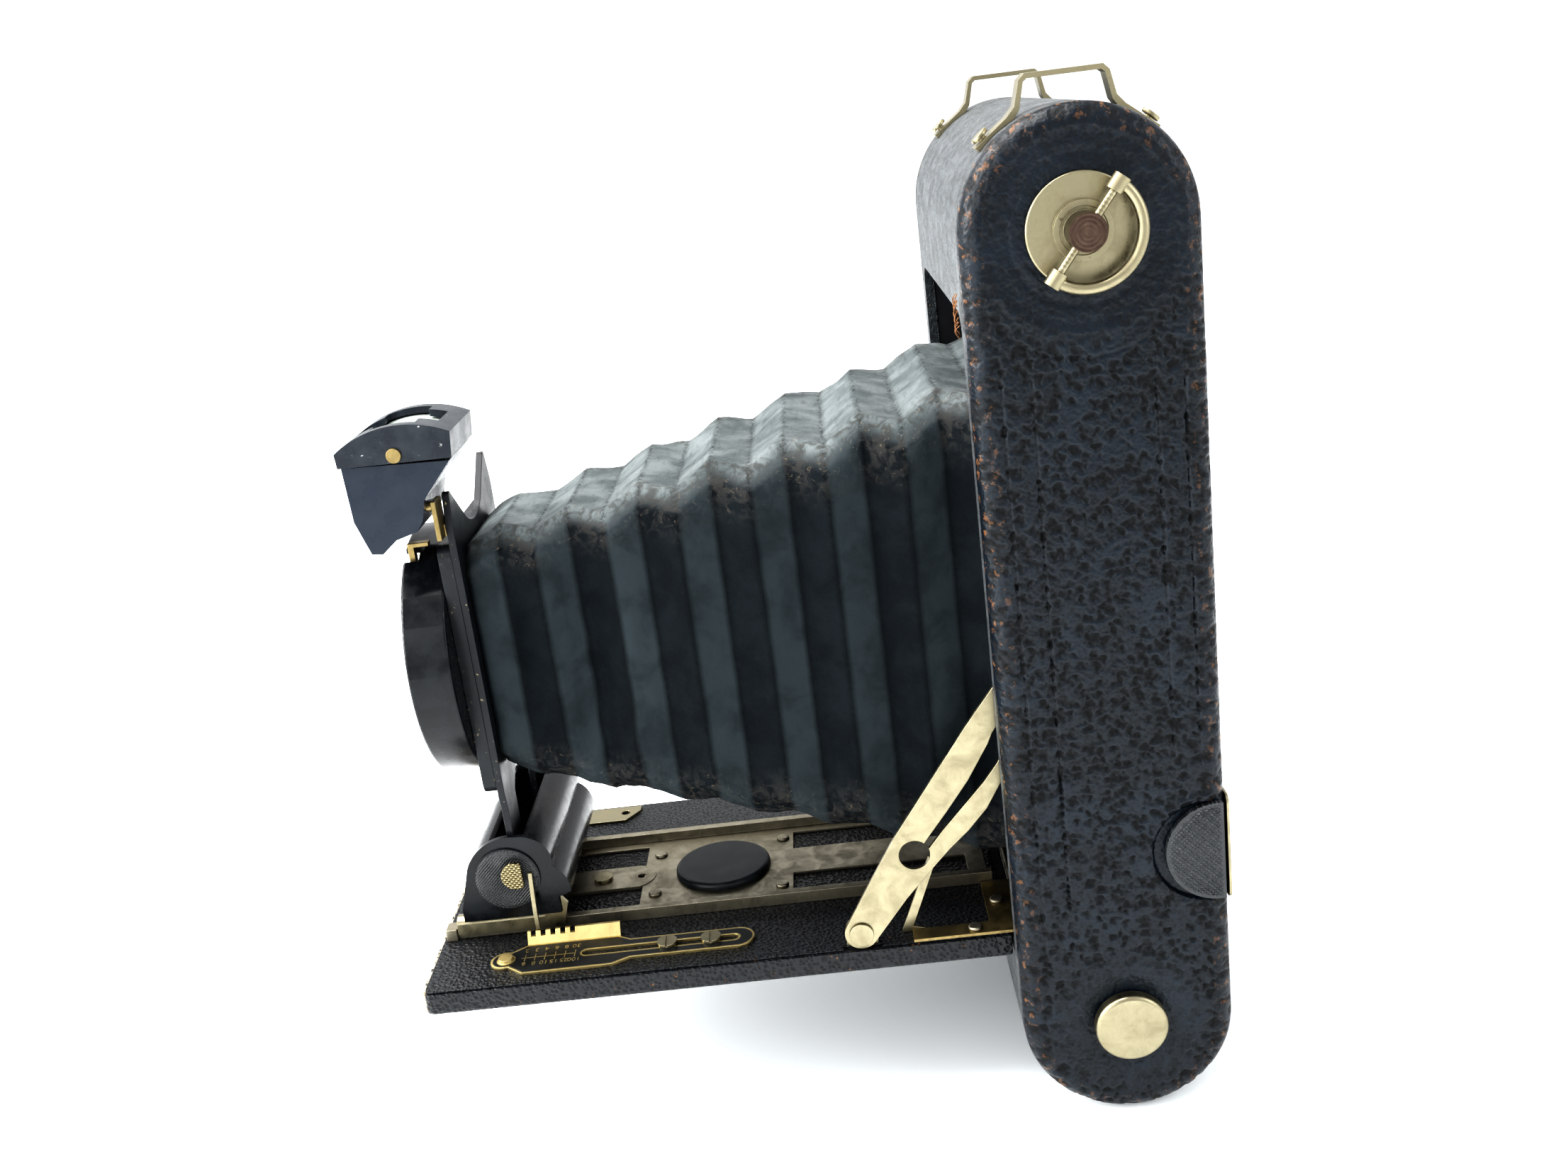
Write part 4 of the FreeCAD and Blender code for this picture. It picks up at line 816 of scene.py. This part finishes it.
def scale_plate():
    """Brass distance plate whose flat field is sunk and blackened inside a brass outline."""
    def sink(bm):
        ups = [f for f in bm.faces if f.normal.z > 0.99]
        level = max(ups, key=lambda f: f.calc_area()).calc_center_median().z
        flat = [f for f in ups if abs(f.calc_center_median().z - level) < 0.02 * MM]
        bmesh.ops.inset_region(bm, faces=flat, thickness=0.55 * MM, depth=-0.05 * MM,
                               use_boundary=True, use_even_offset=True)
        for f in flat:
            f.material_index = 1
        levels.append(level)
    levels = []
    eased("focus_scale", [LOOKS["outline"], LOOKS["field"]], 0.08, shape=sink)
    scale_marks(levels[0] / MM - 0.05)


def scale_marks(z):
    """Two rows of plain numbers either side of a ruled line."""
    strokes = [((37.35, -150.6), (37.6, -136.6))]
    spots = [-149.6 + 2.6 * i for i in range(6)]
    strokes += [((35.9, y - 0.12), (39.1, y + 0.12)) for y in spots]
    verts, faces = [], []
    for (x0, y0), (x1, y1) in strokes:
        k = len(verts)
        verts += [Vector(p) * MM for p in ((x0, y0, z), (x1, y0, z), (x1, y1, z), (x0, y1, z),
                  (x0, y0, z + 0.06), (x1, y0, z + 0.06), (x1, y1, z + 0.06), (x0, y1, z + 0.06))]
        faces += [tuple(k + i for i in f) for f in ((0, 3, 2, 1), (4, 5, 6, 7), (0, 1, 5, 4),
                  (1, 2, 6, 5), (2, 3, 7, 6), (3, 0, 4, 7))]
    piece("scale_rules", verts, faces, "bed", LOOKS["outline"])
    for row, x, texts in (("a", 39.6, ("6", "8", "10", "15", "25", "100")),
                          ("b", 33.2, ("2", "3", "4", "6", "8", "30"))):
        for i, text in enumerate(texts):
            number("number_%s%d" % (row, i), text, x, spots[i], z)


def number(name, text, x, y, z):
    """One raised number, read from the camera's near side, its foot at z; all in mm."""
    curve = bpy.data.curves.new(name + "_text", "FONT")
    curve.body, curve.size, curve.extrude = text, 2.3 * MM, 0.03 * MM
    curve.align_x = "CENTER"
    made = bpy.data.objects.new(name + "_text", curve)
    bpy.context.scene.collection.objects.link(made)
    bpy.context.view_layer.update()
    graph = bpy.context.evaluated_depsgraph_get()
    mesh = bpy.data.meshes.new_from_object(made.evaluated_get(graph))
    bpy.data.objects.remove(made)
    turn = Matrix(((0, 1, 0), (-1, 0, 0), (0, 0, 1))).to_4x4()
    mesh.transform(Matrix.Translation(Vector((x, y, z + 0.03)) * MM) @ turn)
    settle(bpy.data.objects.new(name, mesh), "bed", LOOKS["outline"])


def frayed_edge():
    """Torn fibres where the front leather has worn through above the opening."""
    for i in range(16):
        seed = Vector((i * 1.7, 3.3, 0.4))
        drift = noise.noise_vector(seed)
        start = Vector((49.5 + 1.6 * drift.x, -25.75, 204.5 - 0.45 * i + drift.y))
        verts, faces, steps = [], [], 8
        for k in range(steps):
            t = k / (steps - 1)
            curl = noise.noise_vector(seed + Vector((t * 1.6, 0, 0)))
            bow = -0.9 * math.sin(math.pi * t) - 0.15
            p = start + Vector((2.2 * curl.x, bow, -3.4 * t + curl.z))
            width = 0.16 * (1 - 0.7 * t)
            verts += [(p + Vector((width * math.cos(a), width * math.sin(a), 0))) * MM
                      for a in (0, 2.1, 4.2)]
        for k in range(steps - 1):
            for a in range(3):
                b = (a + 1) % 3
                faces.append((3 * k + a, 3 * k + b, 3 * k + 3 + b, 3 * k + 3 + a))
        faces += [(2, 1, 0), (3 * steps - 3, 3 * steps - 2, 3 * steps - 1)]
        piece("fray_%02d" % i, verts, faces, "body", LOOKS["thread"])


# ---- scene ----------------------------------------------------------------


def make_camera():
    """View from the winding-key side, a little above and level with the front half."""
    azimuth, elevation, roll = math.radians(92.46), math.radians(17.77), math.radians(-7.3)
    back = Vector((math.sin(azimuth) * math.cos(elevation),
                   -math.cos(azimuth) * math.cos(elevation), math.sin(elevation)))
    level = Vector((0, 0, 1)).cross(back).normalized()
    right = level * math.cos(roll) + back.cross(level) * math.sin(roll)
    up = back.cross(right)
    data = bpy.data.cameras.new("camera")
    data.sensor_width, data.lens = 36.0, 35.497
    data.clip_start, data.clip_end = 0.02, 20
    camera = bpy.data.objects.new("camera", data)
    turn = Matrix((right, up, back)).transposed().to_4x4()
    camera.matrix_world = Matrix.Translation(Vector((386.41, -56.40, 250.79)) * MM) @ turn
    bpy.context.scene.collection.objects.link(camera)
    bpy.context.scene.camera = camera


def area_light(name, place, target, size, power, colour):
    """Rectangular lamp at `place`, aimed at `target`, in metres and watts."""
    data = bpy.data.lights.new(name, "AREA")
    data.shape, data.size, data.size_y = "RECTANGLE", size[0], size[1]
    data.energy, data.color = power, colour
    lamp = bpy.data.objects.new(name, data)
    lamp.location = place
    lamp.rotation_euler = (Vector(target) - Vector(place)).to_track_quat("-Z", "Y").to_euler()
    bpy.context.scene.collection.objects.link(lamp)


def make_studio():
    """Pale surroundings, four soft lamps and a wide sheet of paper under the camera."""
    world = bpy.data.worlds.new("studio")
    world.use_nodes = True
    sky = world.node_tree.nodes["Background"]
    sky.inputs["Color"].default_value = (0.985, 0.995, 1.0, 1)
    sky.inputs["Strength"].default_value = 1.03
    bpy.context.scene.world = world
    middle = (0, -0.06, 0.12)
    area_light("overhead", (-0.10, -0.45, 0.95), middle, (0.9, 0.9), 20, (1.0, 0.99, 0.97))
    area_light("lens_side", (0.10, -1.0, 0.45), middle, (0.5, 0.6), 12, (0.97, 0.99, 1.0))
    area_light("front_fill", (0.75, -0.75, 0.45), middle, (0.7, 0.7), 5, (0.96, 0.98, 1.0))
    area_light("back_fill", (0.45, 0.8, 0.5), middle, (0.6, 0.8), 4, (0.95, 0.98, 1.0))
    size = 60.0
    mesh = bpy.data.meshes.new("floor")
    mesh.from_pydata([(-size, -size, 0), (size, -size, 0), (size, size, 0), (-size, size, 0)], [],
                     [(0, 1, 2, 3)])
    floor = bpy.data.objects.new("floor", mesh)
    floor.location.z = -0.0004
    bpy.context.scene.collection.objects.link(floor)
    look = Look("paper_floor", Roughness=0.85, Specular_IOR_Level=0.2)
    grain = look.noise(3 * MM, 3)
    look.bump(grain, 0.02 * MM, 0.2)
    mesh.materials.append(look.done(look.mix(grain, (0.955, 0.975, 0.985), (0.97, 0.985, 0.99))))
    bpy.context.scene.view_settings.view_transform = "Standard"
    bpy.context.scene.view_settings.exposure = 0.0
    bpy.context.scene.view_settings.look = "High Contrast"


SLOT_OF = {s["node"]: s["material_slot"] for s in frame["record"]["subparts"]}
LOOKS = make_looks()
EASED = {
    "band": ("body_shell",),
    "back": ("back_cover",),
    "bed": ("bed_lining",),
    "bed_edge": ("bed_plate",),
    "shaft": ("winding_shaft",),
    "nickel": ("key_escutcheon", "key_bail", "strap_brackets", "strap_rivets",
               "knob_near_lower", "knob_far_lower", "knob_far_upper", "latch_plate",
               "strut_near", "strut_far", "strut_lugs", "strut_springs", "shoes",
               "focus_pointer", "bed_screws", "lens_tube", "iris_lever", "speed_dial",
               "air_cylinders", "strut_studs", "bed_catch_plate"),
    "steel": ("track", "bed_rivets", "spring_tongue", "body_hinge", "roller_lower",
              "roller_upper"),
    "brass": ("hinge_leaves", "finder_bracket", "finder_screws", "finder_objective",
              "release_lever"),
    "enamel": ("carriage", "shutter_case", "shutter_face"),
    "panel": ("front_upright", "lens_board"),
    "finder": ("finder_body",),
    "frame_top": ("finder_hood",),
    "boss": ("tripod_bush",),
    "matt": ("inner_frame", "shutter_blades", "iris"),
    "checkered": ("release_button_near", "release_button_far"),
    "wood": ("supply_spool", "takeup_spool"),
    "glass": ("lenses",),
    "condenser": ("finder_glass",),
    "ruby": ("red_window",),
}
for look, names in EASED.items():
    for node in names:
        eased(node, LOOKS[look])
side_cover("leather_side_near", "side_cap_near", True)
side_cover("leather_side_far", "side_cap_far", False)
latch()
cheek_grip(1)
cheek_grip(-1)
scale_plate()
frayed_edge()
folds = bellows()
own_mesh(folds)
make_camera()
make_studio()
